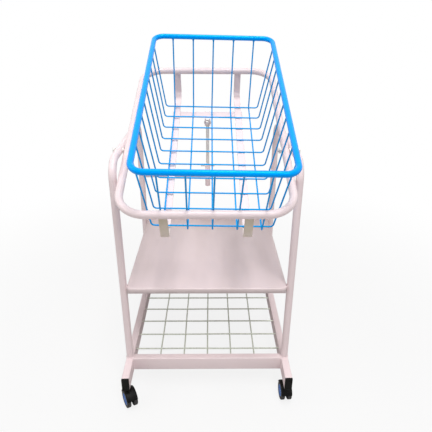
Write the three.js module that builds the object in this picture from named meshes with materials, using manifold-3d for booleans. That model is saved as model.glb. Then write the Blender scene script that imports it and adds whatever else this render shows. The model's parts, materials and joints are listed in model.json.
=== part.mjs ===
// Hospital bassinet: a loose wire basket in a tilting tube cradle, on a welded tube stand with castors.
// Millimetres, +Z up, +Y towards the raised head end, origin on the floor under the middle of the part.

import * as THREE from 'three';
import { mergeVertices } from 'three/addons/utils/BufferGeometryUtils.js';
import Module from 'manifold-3d';

const wasm = await Module();
wasm.setup();

// Fits
const SEAT = 0.3; // gap between two pieces that touch
const RUN = 0.3; // radial play of a pin, screw or rod in its hole

// Stand
const POST_SPREAD = 440; // between post centres, side to side
const POST_DEPTH = 414; // between post centres, front to rear
const FRAME_TUBE = 19; // outside diameter
const FRAME_WALL = 1.5;
const FRAME_BEND = 45; // bend radii are those of the tube's centre line
const TOP_TUBE_HEIGHT = 678; // floor to tube centre
const RAIL_WIDTH = 20;
const RAIL_HEIGHT = 40;
const RAIL_WALL = 1.6;
const RAIL_CORNER = 2;
const RAIL_UNDERSIDE = 62; // floor to rail
const RAIL_OVERHANG = 84; // rail beyond the post centres, front and rear
const CAP_HEAD = 6;
const CAP_PLUG = 8;
const CAP_CHAMFER = 1.5;

// Solid shelf, one folded sheet
const SHELF_HEIGHT = 342; // floor to top face
const SHELF_SHEET = 1.5;
const SHELF_FOLD = 3;
const SHELF_LIP = 15; // front and side edges, turned down
const SHELF_BACK_LIP = 12; // rear edge, turned up
const SHELF_FRONT_REACH = 16; // past the front post centres
const SHELF_REAR_REACH = 2; // past the rear post centres

// Wire shelf between the base rails
const NET_WIRE = 4;
const NET_DROP = 12; // rail top to wire centre
const NET_LONG_WIRES = 5;
const NET_LONG_PITCH = 68;
const NET_CROSS_WIRES = 6;
const NET_CROSS_PITCH = 63.5;
const NET_FIRST_CROSS = 42; // front post centre to the first cross wire
const NET_WELD = 0.8; // how deep the crossing wires are pressed together

// Cradle pivot
const PIVOT_DEPTH = 100; // front post centre to pivot
const TILT = THREE.MathUtils.degToRad(22.5);
const PIVOT_BOLT = 8;
const BOLT_HEAD = 13; // across flats
const BOLT_HEAD_HEIGHT = 5.5;
const BOLT_END = 3; // thread showing past the nut
const NUT_HEIGHT = 6.5;
const SPACER_THICKNESS = 2;
const SPACER_DIAMETER = 18;

// Cradle: u runs up the slope from the pivot, v is square to the ring
const RING_TUBE = 19;
const RING_WALL = 1.5;
const RING_FRONT = 222; // pivot to the front bar, down the slope
const RING_REAR = 398; // pivot to the rear bar, up the slope
const RING_BEND = 65;
const STRAP_SPREAD = 190;
const STRAP_WIDTH = 20;
const STRAP_THICKNESS = 4;
const STRAP_DROP = 82; // ring plane to the strap's middle
const STRAP_BEND = 16;
const UNDER_BAR_WIDTH = 25;
const UNDER_BAR_THICKNESS = 4;
const UNDER_BAR_OVERLAP = 2; // bar beyond the straps' outer edges

// Stay that holds the tilt
const STAY_TUBE = 16;
const STAY_TUBE_TOP = 548; // heights above the floor
const STAY_TUBE_BOTTOM = 474;
const REAR_TUBE_HEIGHT = 506;
const STAY_ROD = 10;
const STAY_GRIP = 30; // rod left in the tube at full tilt
const STAY_PIN = 6;
const STAY_PIN_HEAD = 10;
const STAY_PIN_HEAD_THICKNESS = 2;
const STAY_PIN_DROP = 108; // ring plane to pin
const STAY_EYE = 16;
const STAY_EYE_WIDTH = 10;
const EAR_THICKNESS = 3;
const EAR_MARGIN = 7; // metal round the slot
const EAR_PLAY = 0.5; // beside the rod's eye
const SLOT_PLAY = 0.5; // round the pin
const LOCK_DROP = 16; // stay tube top to lock screw
const LOCK_SCREW = 8;
const LOCK_BOSS = 14;
const LOCK_BOSS_LENGTH = 10;
const LOCK_REACH = 16; // boss to the middle of the T-bar
const LOCK_BAR = 6;
const LOCK_BAR_LENGTH = 46;

// Basket, in the cradle's u and v
const BASKET_SIDE_PLAY = 14; // it stands a little to the right in the cradle
const RIM_TUBE = 14;
const RIM_WIDTH = 336; // sizes of rim and floor are those of the centre lines
const RIM_LENGTH = 586;
const RIM_BEND = 28;
const RIM_RISE = 125; // ring plane to rim
const BASKET_CENTRE = 63; // pivot to the middle of the basket
const FLOOR_WIDTH = 285;
const FLOOR_LENGTH = 518;
const BASKET_WIRE = 4;
const WIRE_BEND = 9;
const CROSS_WIRES = 10;
const CROSS_PITCH = 55.5;
const LONG_WIRES = 5;
const LONG_PITCH = 58;

// Twin-wheel castors
const STEM_INSET = 19; // rail end to stem
const STEM = 10;
const STEM_LENGTH = 32;
const NECK = 17;
const TRAIL = 12; // stem to axle
const WHEEL_RADIUS = 25;
const WHEEL_WIDTH = 11;
const WHEEL_EDGE = 2; // rounding of the tread
const DISC_RECESS = 1.4;
const DISC_RADIUS = 16.5;
const AXLE = 6;
const WEB_THICKNESS = 7;
const WHEEL_SIDE_PLAY = 0.5;
const HOOD_PLAY = 1; // between tread and hood
const HOOD_WALL = 2.5;
const HUB_RADIUS = 12;
const HOOD_START = THREE.MathUtils.degToRad(20);
const HOOD_END = THREE.MathUtils.degToRad(168);
const FRONT_HEADING = THREE.MathUtils.degToRad(209); // left castors' turn from trailing to the rear
const REAR_HEADING = THREE.MathUtils.degToRad(194);
const FRONT_RIGHT_HEADING = THREE.MathUtils.degToRad(3);
const REAR_RIGHT_HEADING = THREE.MathUtils.degToRad(151);

// Facets
const TUBE_SIDES = 12;
const WIRE_SIDES = 6;
const WHEEL_SIDES = 20;
const BORE_SIDES = 12;

// Worked out from the sizes above
const POST_X = POST_SPREAD / 2;
const RAIL_TOP = RAIL_UNDERSIDE + RAIL_HEIGHT;
const RAIL_FRONT = -RAIL_OVERHANG;
const RAIL_REAR = POST_DEPTH + RAIL_OVERHANG;
const RING_X = POST_X - FRAME_TUBE / 2 - SPACER_THICKNESS - 2 * SEAT - RING_TUBE / 2;
const STRAP_TOP = -STRAP_DROP + STRAP_THICKNESS / 2;
const STRAP_UNDERSIDE = -STRAP_DROP - STRAP_THICKNESS / 2;
const STAY_DEPTH = POST_DEPTH - FRAME_TUBE / 2 - SEAT - STAY_TUBE / 2;
const LOCK_HEIGHT = STAY_TUBE_TOP - LOCK_DROP;
const CROSS_WIRE_LEVEL = STRAP_TOP + SEAT + BASKET_WIRE / 2;
const LONG_WIRE_LEVEL = CROSS_WIRE_LEVEL - BASKET_WIRE - SEAT;
const STRAP_EDGE = (STRAP_SPREAD + STRAP_WIDTH) / 2;
const X_AXIS = new THREE.Vector3(1, 0, 0);
const Y_AXIS = new THREE.Vector3(0, 1, 0);
const Z_AXIS = new THREE.Vector3(0, 0, 1);

// Where on the slope the stay's pin lies when the cradle is tilted by an angle: the pin only rises and falls
const pinSlope = (angle) =>
  (STAY_DEPTH - PIVOT_DEPTH - STAY_PIN_DROP * Math.sin(angle)) / Math.cos(angle);
const SLOT_LOW = pinSlope(TILT);
const SLOT_HIGH = pinSlope(0);
const PIN_HEIGHT = TOP_TUBE_HEIGHT + SLOT_LOW * Math.sin(TILT) - STAY_PIN_DROP * Math.cos(TILT);

const FINISHES = {
  paint: { color: 0xecdadb, roughness: 0.35, metalness: 0 },
  enamel: { color: 0x0a96ff, roughness: 0.25, metalness: 0 },
  galvanised: { color: 0xaeb4a6, roughness: 0.45, metalness: 0.8 },
  zinc: { color: 0xb9bcbe, roughness: 0.35, metalness: 0.9 },
  plastic: { color: 0x151515, roughness: 0.5, metalness: 0 },
};

// Closed geometry as a solid for cutting and joining, and back again
function toSolid(geometry) {
  const bare = geometry.clone();
  bare.deleteAttribute('normal');
  bare.deleteAttribute('uv');
  const merged = mergeVertices(bare);
  const vertProperties = Float32Array.from(merged.attributes.position.array);
  const triVerts = Uint32Array.from(merged.index.array);
  return new wasm.Manifold(new wasm.Mesh({ numProp: 3, vertProperties, triVerts }));
}

function toGeometry(solid) {
  const mesh = solid.getMesh();
  const geometry = new THREE.BufferGeometry();
  geometry.setAttribute('position', new THREE.BufferAttribute(mesh.vertProperties, 3));
  geometry.setIndex(new THREE.BufferAttribute(mesh.triVerts, 1));
  geometry.computeVertexNormals();
  return geometry;
}

const join = (...pieces) => toGeometry(pieces.map(toSolid).reduce((all, piece) => all.add(piece)));
const cut = (body, ...tools) =>
  toGeometry(tools.map(toSolid).reduce((rest, tool) => rest.subtract(tool), toSolid(body)));

// Centre line of a bent tube, wire or strip: straight runs, with each corner rounded to the bend radius.
// It lies in one plane, and the section's own x stays along that plane's normal.
class BentPath extends THREE.Curve {
  constructor(corners, bend, planeNormal, bendSteps = 5) {
    super();
    this.planeNormal = planeNormal;
    const runs = corners.slice(1).map((corner, i) => corner.clone().sub(corners[i]).normalize());
    this.stations = [{ point: corners[0], tangent: runs[0] }];
    for (let i = 1; i < runs.length; i += 1) {
      this.addBend(corners[i], runs[i - 1], runs[i], bend, bendSteps);
    }
    this.stations.push({ point: corners[runs.length], tangent: runs[runs.length - 1] });
  }

  addBend(corner, before, after, bend, steps) {
    const turn = before.angleTo(after);
    const inward = after.clone().addScaledVector(before, -before.dot(after)).normalize();
    const start = corner.clone().addScaledVector(before, -bend * Math.tan(turn / 2));
    for (let i = 0; i <= steps; i += 1) {
      const angle = (turn * i) / steps;
      const point = start.clone().addScaledVector(before, bend * Math.sin(angle));
      point.addScaledVector(inward, bend * (1 - Math.cos(angle)));
      const tangent = before.clone().multiplyScalar(Math.cos(angle));
      tangent.addScaledVector(inward, Math.sin(angle));
      this.stations.push({ point, tangent });
    }
  }

  stationAt(t) {
    return this.stations[Math.round(t * (this.stations.length - 1))];
  }

  getPoint(t, target = new THREE.Vector3()) {
    return target.copy(this.stationAt(t).point);
  }

  getPointAt(t, target) {
    return this.getPoint(t, target);
  }

  computeFrenetFrames() {
    const tangents = this.stations.map((station) => station.tangent);
    const normals = tangents.map(() => this.planeNormal.clone());
    const binormals = tangents.map((tangent) => tangent.clone().cross(this.planeNormal));
    return { tangents, normals, binormals };
  }
}

const straight = (from, to, planeNormal) => new BentPath([from, to], 0, planeNormal);
const at = (x, y, z) => new THREE.Vector3(x, y, z);

function sweep(section, path, sides = TUBE_SIDES) {
  const steps = path.stations.length - 1;
  return new THREE.ExtrudeGeometry(section, { steps, curveSegments: sides / 2, extrudePath: path });
}

function roundSection(diameter, bore = 0) {
  const section = new THREE.Shape().absarc(0, 0, diameter / 2, 0, 2 * Math.PI);
  if (bore > 0) section.holes.push(new THREE.Path().absarc(0, 0, bore / 2, 0, 2 * Math.PI, true));
  return section;
}

function boxPath(outline, width, height, corner) {
  const x = width / 2 - corner;
  const y = height / 2 - corner;
  const quarter = Math.PI / 2;
  [[x, y], [-x, y], [-x, -y], [x, -y]].forEach(([cx, cy], i) => {
    outline.absarc(cx, cy, corner, i * quarter, (i + 1) * quarter);
  });
  return outline.closePath();
}

function flatSection(width, thickness) {
  const x = width / 2;
  const y = thickness / 2;
  const corners = [[-x, -y], [x, -y], [x, y], [-x, y]];
  return new THREE.Shape(corners.map(([cx, cy]) => new THREE.Vector2(cx, cy)));
}

const boxSection = (width, height, corner) => boxPath(new THREE.Shape(), width, height, corner);

function boxTubeSection() {
  const section = boxSection(RAIL_WIDTH, RAIL_HEIGHT, RAIL_CORNER);
  const bore = [RAIL_WIDTH - 2 * RAIL_WALL, RAIL_HEIGHT - 2 * RAIL_WALL];
  section.holes.push(boxPath(new THREE.Path(), ...bore, RAIL_CORNER - RAIL_WALL));
  return section;
}

const rod = (diameter, from, to, planeNormal, sides = BORE_SIDES) =>
  sweep(roundSection(diameter), straight(from, to, planeNormal), sides);
const hole = (size) => size + 2 * RUN;

// A loop of tube made as two bent halves that lap a little on the long centre line, as welded ones do
function tubeLoop(section, lap, halfWidth, front, rear, level, bend) {
  const halves = [-1, 1].map((side) => {
    const corners = [
      at(-side * lap, front, level),
      at(side * halfWidth, front, level),
      at(side * halfWidth, rear, level),
      at(-side * lap, rear, level),
    ];
    return sweep(section, new BentPath(corners, bend, Z_AXIS));
  });
  return join(...halves);
}

// Stand

function sideFrame(side) {
  const x = side * POST_X;
  const foot = RAIL_TOP + SEAT;
  const corners = [
    at(x, 0, foot),
    at(x, 0, TOP_TUBE_HEIGHT),
    at(x, POST_DEPTH, TOP_TUBE_HEIGHT),
    at(x, POST_DEPTH, foot),
  ];
  const section = roundSection(FRAME_TUBE, FRAME_TUBE - 2 * FRAME_WALL);
  const tube = sweep(section, new BentPath(corners, FRAME_BEND, X_AXIS));
  return cut(tube, pivotDrill(x, PIVOT_DEPTH, TOP_TUBE_HEIGHT));
}

function pivotDrill(x, y, z) {
  const reach = FRAME_TUBE;
  return rod(hole(PIVOT_BOLT), at(x - reach, y, z), at(x + reach, y, z), Z_AXIS);
}

const stemDepths = [RAIL_FRONT + STEM_INSET, RAIL_REAR - STEM_INSET];

function baseRail(side) {
  const x = side * POST_X;
  const z = RAIL_UNDERSIDE + RAIL_HEIGHT / 2;
  const tube = sweep(boxTubeSection(), straight(at(x, RAIL_FRONT, z), at(x, RAIL_REAR, z), X_AXIS), 2);
  const drills = stemDepths.map((y) =>
    rod(hole(STEM), at(x, y, RAIL_UNDERSIDE - RAIL_WALL), at(x, y, z), X_AXIS));
  return cut(tube, ...drills);
}

function baseCrossBar(y) {
  const x = POST_X - RAIL_WIDTH / 2 - SEAT;
  const z = RAIL_UNDERSIDE + RAIL_HEIGHT / 2;
  return sweep(boxTubeSection(), straight(at(-x, y, z), at(x, y, z), Y_AXIS), 2);
}

// Push-in rail end: a chamfered head and a plug that fills the tube
function railEndCap(side, end) {
  const x = side * POST_X;
  const y = end < 0 ? RAIL_FRONT : RAIL_REAR;
  const z = RAIL_UNDERSIDE + RAIL_HEIGHT / 2;
  const head = new THREE.ExtrudeGeometry(boxSection(RAIL_WIDTH, RAIL_HEIGHT, RAIL_CORNER), {
    depth: CAP_HEAD - SEAT - 2 * CAP_CHAMFER,
    curveSegments: 1,
    bevelThickness: CAP_CHAMFER,
    bevelSize: CAP_CHAMFER,
    bevelOffset: -CAP_CHAMFER,
    bevelSegments: 1,
  });
  head.translate(0, 0, SEAT + CAP_CHAMFER);
  head.rotateX((-end * Math.PI) / 2);
  head.translate(x, y, z);
  const inset = 2 * (RAIL_WALL + SEAT);
  const plugPath = straight(at(x, y - end * CAP_PLUG, z), at(x, y + end * (CAP_HEAD / 2), z), X_AXIS);
  return join(head, sweep(flatSection(RAIL_WIDTH - inset, RAIL_HEIGHT - inset), plugPath));
}

// One sheet folded down in front and up at the rear, with the two sides turned down
function solidShelf() {
  const halfWidth = POST_X - FRAME_TUBE / 2 - SEAT;
  const level = SHELF_HEIGHT - SHELF_SHEET / 2;
  const front = -SHELF_FRONT_REACH + SHELF_SHEET / 2;
  const rear = POST_DEPTH + SHELF_REAR_REACH - SHELF_SHEET / 2;
  const corners = [
    at(0, front, SHELF_HEIGHT - SHELF_LIP),
    at(0, front, level),
    at(0, rear, level),
    at(0, rear, SHELF_HEIGHT + SHELF_BACK_LIP),
  ];
  const sheet = sweep(flatSection(2 * halfWidth, SHELF_SHEET), new BentPath(corners, SHELF_FOLD, X_AXIS, 3));
  const lipMiddle = SHELF_HEIGHT - SHELF_LIP / 2;
  const lipFront = front + SHELF_FOLD;
  const lipRear = rear - SHELF_FOLD;
  const lips = [-1, 1].map((side) => {
    const x = side * (halfWidth - SHELF_SHEET / 2);
    const lip = flatSection(SHELF_SHEET, SHELF_LIP);
    return sweep(lip, straight(at(x, lipFront, lipMiddle), at(x, lipRear, lipMiddle), X_AXIS));
  });
  return join(sheet, ...lips);
}

// Evenly spaced places about zero
const spaced = (count, pitch) => Array.from({ length: count }, (_, i) => (i - (count - 1) / 2) * pitch);

// Welded net: the cross wires lie on the long wires and are pressed a little into them
function wireShelf() {
  const level = RAIL_TOP - NET_DROP;
  const crossLevel = level + NET_WIRE - NET_WELD;
  const barFace = RAIL_WIDTH / 2 + SEAT;
  const long = spaced(NET_LONG_WIRES, NET_LONG_PITCH).map((x) =>
    rod(NET_WIRE, at(x, barFace, level), at(x, POST_DEPTH - barFace, level), X_AXIS, WIRE_SIDES));
  const reach = POST_X - barFace;
  const cross = Array.from({ length: NET_CROSS_WIRES }, (_, i) => {
    const y = NET_FIRST_CROSS + i * NET_CROSS_PITCH;
    return rod(NET_WIRE, at(-reach, y, crossLevel), at(reach, y, crossLevel), Y_AXIS, WIRE_SIDES);
  });
  return join(...long, ...cross);
}

// Cross tube between the rear posts, its ends coped round them
function rearCrossTube() {
  const ends = [-1, 1].map((side) => at(side * POST_X, POST_DEPTH, REAR_TUBE_HEIGHT));
  const tube = sweep(roundSection(FRAME_TUBE, FRAME_TUBE - 2 * FRAME_WALL), straight(...ends, Y_AXIS));
  const posts = ends.map((end) => rod(
    FRAME_TUBE + 2 * SEAT,
    end.clone().setZ(REAR_TUBE_HEIGHT - FRAME_TUBE),
    end.clone().setZ(REAR_TUBE_HEIGHT + FRAME_TUBE),
    X_AXIS,
    2 * TUBE_SIDES,
  ));
  return cut(tube, ...posts);
}

// Upright guide of the stay, with a threaded boss for the lock screw
function stayTube() {
  const bottom = at(0, STAY_DEPTH, STAY_TUBE_BOTTOM);
  const top = at(0, STAY_DEPTH, STAY_TUBE_TOP);
  const screwStart = at(0, STAY_DEPTH, LOCK_HEIGHT);
  const bossEnd = at(0, STAY_DEPTH + STAY_TUBE / 2 + LOCK_BOSS_LENGTH, LOCK_HEIGHT);
  const body = join(rod(STAY_TUBE, bottom, top, X_AXIS), rod(LOCK_BOSS, screwStart, bossEnd, X_AXIS));
  const past = STAY_ROD;
  const bore = rod(
    hole(STAY_ROD),
    at(0, STAY_DEPTH, STAY_TUBE_BOTTOM - past),
    at(0, STAY_DEPTH, STAY_TUBE_TOP + past),
    X_AXIS,
  );
  const screwBore = rod(hole(LOCK_SCREW), screwStart, bossEnd.clone().addScaledVector(Y_AXIS, past), X_AXIS);
  return cut(body, bore, screwBore);
}

function lockScrew() {
  const tip = at(0, STAY_DEPTH + STAY_ROD / 2 + SEAT, LOCK_HEIGHT);
  const barDepth = STAY_DEPTH + STAY_TUBE / 2 + LOCK_BOSS_LENGTH + LOCK_REACH;
  const shank = rod(LOCK_SCREW, tip, at(0, barDepth + LOCK_BAR / 2, LOCK_HEIGHT), X_AXIS);
  const half = LOCK_BAR_LENGTH / 2;
  const bar = rod(LOCK_BAR, at(-half, barDepth, LOCK_HEIGHT), at(half, barDepth, LOCK_HEIGHT), Y_AXIS);
  return join(shank, bar);
}

// Pivot fasteners, along X from the outside of the side frame to the inside of the ring

const headFace = POST_X + FRAME_TUBE / 2 + SEAT;
const nutFace = RING_X - RING_TUBE / 2 - SEAT;
const onPivot = (side, x) => at(side * x, PIVOT_DEPTH, TOP_TUBE_HEIGHT);

function hexSection(acrossFlats) {
  const radius = acrossFlats / Math.sqrt(3);
  const corners = Array.from({ length: 6 }, (_, i) => (i * Math.PI) / 3);
  return new THREE.Shape(corners.map((a) => new THREE.Vector2(radius * Math.cos(a), radius * Math.sin(a))));
}

function pivotBolt(side) {
  const end = nutFace - NUT_HEIGHT - BOLT_END;
  const shank = rod(PIVOT_BOLT, onPivot(side, end), onPivot(side, headFace + BOLT_HEAD_HEIGHT / 2), Z_AXIS);
  const headPath = straight(onPivot(side, headFace), onPivot(side, headFace + BOLT_HEAD_HEIGHT), Z_AXIS);
  return join(shank, sweep(hexSection(BOLT_HEAD), headPath));
}

function pivotNut(side) {
  const section = hexSection(BOLT_HEAD);
  section.holes.push(new THREE.Path().absarc(0, 0, hole(PIVOT_BOLT) / 2, 0, 2 * Math.PI, true));
  return sweep(section, straight(onPivot(side, nutFace - NUT_HEIGHT), onPivot(side, nutFace), Z_AXIS));
}

function pivotSpacer(side) {
  const inner = RING_X + RING_TUBE / 2 + SEAT;
  const section = roundSection(SPACER_DIAMETER, hole(PIVOT_BOLT));
  return sweep(section, straight(onPivot(side, inner), onPivot(side, inner + SPACER_THICKNESS), Z_AXIS));
}

// Cradle, in a group that stands at the pivot and is turned by the tilt

function cradleRing() {
  const section = roundSection(RING_TUBE, RING_TUBE - 2 * RING_WALL);
  const ring = tubeLoop(section, RING_TUBE / 2, RING_X, -RING_FRONT, RING_REAR, 0, RING_BEND);
  return cut(ring, pivotDrill(RING_X, 0, 0), pivotDrill(-RING_X, 0, 0));
}

function cradleStrap(side) {
  const x = (side * STRAP_SPREAD) / 2;
  const end = -RING_TUBE / 2 - SEAT;
  const corners = [
    at(x, -RING_FRONT, end),
    at(x, -RING_FRONT, -STRAP_DROP),
    at(x, RING_REAR, -STRAP_DROP),
    at(x, RING_REAR, end),
  ];
  return sweep(flatSection(STRAP_WIDTH, STRAP_THICKNESS), new BentPath(corners, STRAP_BEND, X_AXIS));
}

// Bar welded under both straps, with two ears whose slots carry the pin of the stay
function cradleUnderBar() {
  const middle = (SLOT_LOW + SLOT_HIGH) / 2;
  const top = STRAP_UNDERSIDE - SEAT;
  const level = top - UNDER_BAR_THICKNESS / 2;
  const half = STRAP_EDGE + UNDER_BAR_OVERLAP;
  const barPath = straight(at(-half, middle, level), at(half, middle, level), Y_AXIS);
  const bar = sweep(flatSection(UNDER_BAR_WIDTH, UNDER_BAR_THICKNESS), barPath);
  const inner = STAY_EYE_WIDTH / 2 + EAR_PLAY;
  const ears = [-inner - EAR_THICKNESS, inner].map((x) => slottedEar(level).translate(x, 0, 0));
  return join(bar, ...ears);
}

function slottedEar(top) {
  const slotRadius = STAY_PIN / 2 + SLOT_PLAY;
  const round = slotRadius + EAR_MARGIN;
  const quarter = Math.PI / 2;
  const ear = new THREE.Shape();
  ear.moveTo(SLOT_HIGH + round, top);
  ear.lineTo(SLOT_LOW - round, top);
  ear.absarc(SLOT_LOW, -STAY_PIN_DROP, round, 2 * quarter, 3 * quarter);
  ear.absarc(SLOT_HIGH, -STAY_PIN_DROP, round, 3 * quarter, 4 * quarter);
  const slot = new THREE.Path();
  slot.absarc(SLOT_LOW, -STAY_PIN_DROP, slotRadius, 3 * quarter, quarter, true);
  slot.absarc(SLOT_HIGH, -STAY_PIN_DROP, slotRadius, quarter, -quarter, true);
  ear.holes.push(slot);
  const settings = { depth: EAR_THICKNESS, curveSegments: 4, bevelEnabled: false };
  const plate = new THREE.ExtrudeGeometry(ear, settings);
  return plate.rotateZ(Math.PI / 2).rotateY(Math.PI / 2);
}

// Rod that slides in the stay tube, with an eye at its top for the pin
function stayRod() {
  const pin = at(0, STAY_DEPTH, PIN_HEIGHT);
  const shank = rod(STAY_ROD, at(0, STAY_DEPTH, STAY_TUBE_TOP - STAY_GRIP), pin, X_AXIS);
  const half = STAY_EYE_WIDTH / 2;
  const eye = rod(STAY_EYE, pin.clone().setX(-half), pin.clone().setX(half), Z_AXIS);
  const drill = rod(hole(STAY_PIN), pin.clone().setX(-STAY_EYE), pin.clone().setX(STAY_EYE), Z_AXIS);
  return cut(join(shank, eye), drill);
}

function stayPin() {
  const half = STAY_EYE_WIDTH / 2 + EAR_PLAY + EAR_THICKNESS + SEAT;
  const onPin = (x) => at(x, STAY_DEPTH, PIN_HEIGHT);
  const shank = rod(STAY_PIN, onPin(-half - STAY_PIN_HEAD_THICKNESS / 2), onPin(half), Z_AXIS);
  const heads = [-half - STAY_PIN_HEAD_THICKNESS, half].map((x) =>
    rod(STAY_PIN_HEAD, onPin(x), onPin(x + STAY_PIN_HEAD_THICKNESS), Z_AXIS));
  return join(shank.translate(SEAT, 0, 0), ...heads);
}

// Basket, in the cradle's group: it leans, as a long wire rests on one strap and cross wires on the other

const rimFront = BASKET_CENTRE - RIM_LENGTH / 2;
const rimRear = BASKET_CENTRE + RIM_LENGTH / 2;
const restPoint = at(STRAP_EDGE - BASKET_SIDE_PLAY, 0, CROSS_WIRE_LEVEL);
const restSpan = restPoint.x + ((LONG_WIRES - 1) * LONG_PITCH) / 2;
const basketLean = Math.asin((BASKET_WIRE + SEAT) / restSpan);

function basketRim() {
  const section = roundSection(RIM_TUBE);
  return tubeLoop(section, RIM_TUBE / 2, RIM_WIDTH / 2, rimFront, rimRear, RIM_RISE, RIM_BEND);
}

// Where a wire that leans from a floor corner to the rim's centre line stops, just short of the tube
function underRim(floorCorner, rimCentre) {
  const lean = floorCorner.clone().sub(rimCentre).normalize();
  return rimCentre.clone().addScaledVector(lean, RIM_TUBE / 2 + SEAT);
}

function basketWire(floorEnds, rimEnds, planeNormal) {
  const tips = rimEnds.map((rimEnd, i) => underRim(floorEnds[i], rimEnd));
  const path = new BentPath([tips[0], ...floorEnds, tips[1]], WIRE_BEND, planeNormal, 4);
  return sweep(roundSection(BASKET_WIRE), path, WIRE_SIDES);
}

function basketCrossWire(u) {
  const floorEnds = [-1, 1].map((side) => at((side * FLOOR_WIDTH) / 2, u, CROSS_WIRE_LEVEL));
  const rimEnds = [-1, 1].map((side) => at((side * RIM_WIDTH) / 2, u, RIM_RISE));
  return basketWire(floorEnds, rimEnds, Y_AXIS);
}

function basketLongWire(x) {
  const floorEnds = [-1, 1].map((end) => at(x, BASKET_CENTRE + (end * FLOOR_LENGTH) / 2, LONG_WIRE_LEVEL));
  const rimEnds = [at(x, rimFront, RIM_RISE), at(x, rimRear, RIM_RISE)];
  return basketWire(floorEnds, rimEnds, X_AXIS);
}

// Castor, in a group that stands on the floor under its stem; the wheels trail along the group's +Y

const axlePlace = at(0, TRAIL, WHEEL_RADIUS);
const wheelInner = WEB_THICKNESS / 2 + WHEEL_SIDE_PLAY;
const castorHalfWidth = wheelInner + WHEEL_WIDTH;

// Outline in side view, extruded across the castor and put on its axle
function acrossAxle(outline, halfWidth) {
  const settings = { depth: 2 * halfWidth, curveSegments: 6, bevelEnabled: false };
  const block = new THREE.ExtrudeGeometry(outline, settings);
  block.translate(0, 0, -halfWidth).rotateZ(Math.PI / 2).rotateY(Math.PI / 2);
  return block.translate(axlePlace.x, axlePlace.y, axlePlace.z);
}

// Hood over both wheels, the web between them, the neck and the stem that goes up into the rail
function castorHood() {
  const inner = WHEEL_RADIUS + HOOD_PLAY;
  const outer = inner + HOOD_WALL;
  const cover = new THREE.Shape().absarc(0, 0, outer, HOOD_START, HOOD_END);
  cover.absarc(0, 0, inner - HOOD_WALL, HOOD_END, HOOD_START, true);
  const web = new THREE.Shape().absarc(0, 0, inner, HOOD_START, HOOD_END);
  web.absarc(0, 0, HUB_RADIUS, HOOD_END, HOOD_START + 2 * Math.PI);
  const neckTop = RAIL_UNDERSIDE - SEAT;
  const neck = rod(NECK, axlePlace.clone().setY(0), at(0, 0, neckTop), X_AXIS);
  const stem = rod(STEM, at(0, 0, neckTop - STEM / 2), at(0, 0, neckTop + STEM_LENGTH), X_AXIS);
  const wheelRoom = new THREE.Shape().absarc(0, 0, inner, 0, 2 * Math.PI);
  const cap = join(acrossAxle(cover, castorHalfWidth), neck);
  const shell = cut(cap, acrossAxle(wheelRoom, 2 * castorHalfWidth));
  const axleBore = rod(
    hole(AXLE),
    axlePlace.clone().setX(-WEB_THICKNESS),
    axlePlace.clone().setX(WEB_THICKNESS),
    Z_AXIS,
  );
  return cut(join(shell, acrossAxle(web, WEB_THICKNESS / 2), stem), axleBore);
}

function castorAxle() {
  const half = castorHalfWidth - DISC_RECESS - SEAT;
  return rod(AXLE, axlePlace.clone().setX(-half), axlePlace.clone().setX(half), Z_AXIS);
}

// Wheel with a rounded tread and a shallow recess for the disc on its outer face
function castorWheel(side) {
  const bore = hole(AXLE) / 2;
  const floor = WHEEL_WIDTH - DISC_RECESS;
  const profile = [
    [bore, 0],
    [WHEEL_RADIUS - WHEEL_EDGE, 0],
    [WHEEL_RADIUS, WHEEL_EDGE],
    [WHEEL_RADIUS, WHEEL_WIDTH - WHEEL_EDGE],
    [WHEEL_RADIUS - WHEEL_EDGE, WHEEL_WIDTH],
    [DISC_RADIUS, WHEEL_WIDTH],
    [DISC_RADIUS, floor],
    [bore, floor],
    [bore, 0],
  ];
  const wheel = new THREE.LatheGeometry(profile.map(([r, w]) => new THREE.Vector2(r, w)), WHEEL_SIDES);
  wheel.rotateZ((-side * Math.PI) / 2);
  return wheel.translate(side * wheelInner, axlePlace.y, axlePlace.z);
}

// Assembly

function addPiece(group, name, geometry, finish) {
  const mesh = new THREE.Mesh(geometry, new THREE.MeshStandardMaterial(FINISHES[finish]));
  mesh.name = name;
  group.add(mesh);
}

const SIDES = [['left', -1], ['right', 1]];
const ENDS = [['front', -1], ['rear', 1]];
const stand = new THREE.Group();
const cradle = new THREE.Group();
const basket = new THREE.Group();

SIDES.forEach(([sideName, side]) => {
  addPiece(stand, `base_rail_${sideName}`, baseRail(side), 'paint');
  addPiece(stand, `side_frame_${sideName}`, sideFrame(side), 'paint');
  addPiece(stand, `pivot_bolt_${sideName}`, pivotBolt(side), 'zinc');
  addPiece(stand, `pivot_nut_${sideName}`, pivotNut(side), 'zinc');
  addPiece(stand, `pivot_spacer_${sideName}`, pivotSpacer(side), 'zinc');
  addPiece(cradle, `cradle_strap_${sideName}`, cradleStrap(side), 'paint');
});
addPiece(stand, 'base_cross_bar_front', baseCrossBar(0), 'paint');
addPiece(stand, 'base_cross_bar_rear', baseCrossBar(POST_DEPTH), 'paint');
addPiece(stand, 'solid_shelf', solidShelf(), 'paint');
addPiece(stand, 'wire_shelf', wireShelf(), 'galvanised');
addPiece(stand, 'rear_cross_tube', rearCrossTube(), 'paint');
addPiece(stand, 'stay_tube', stayTube(), 'paint');
addPiece(stand, 'stay_lock_screw', lockScrew(), 'zinc');
addPiece(stand, 'stay_rod', stayRod(), 'zinc');
addPiece(stand, 'stay_pin', stayPin(), 'zinc');

addPiece(cradle, 'cradle_ring', cradleRing(), 'paint');
addPiece(cradle, 'cradle_under_bar', cradleUnderBar(), 'paint');
cradle.position.set(0, PIVOT_DEPTH, TOP_TUBE_HEIGHT);
cradle.rotation.x = TILT;

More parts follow.
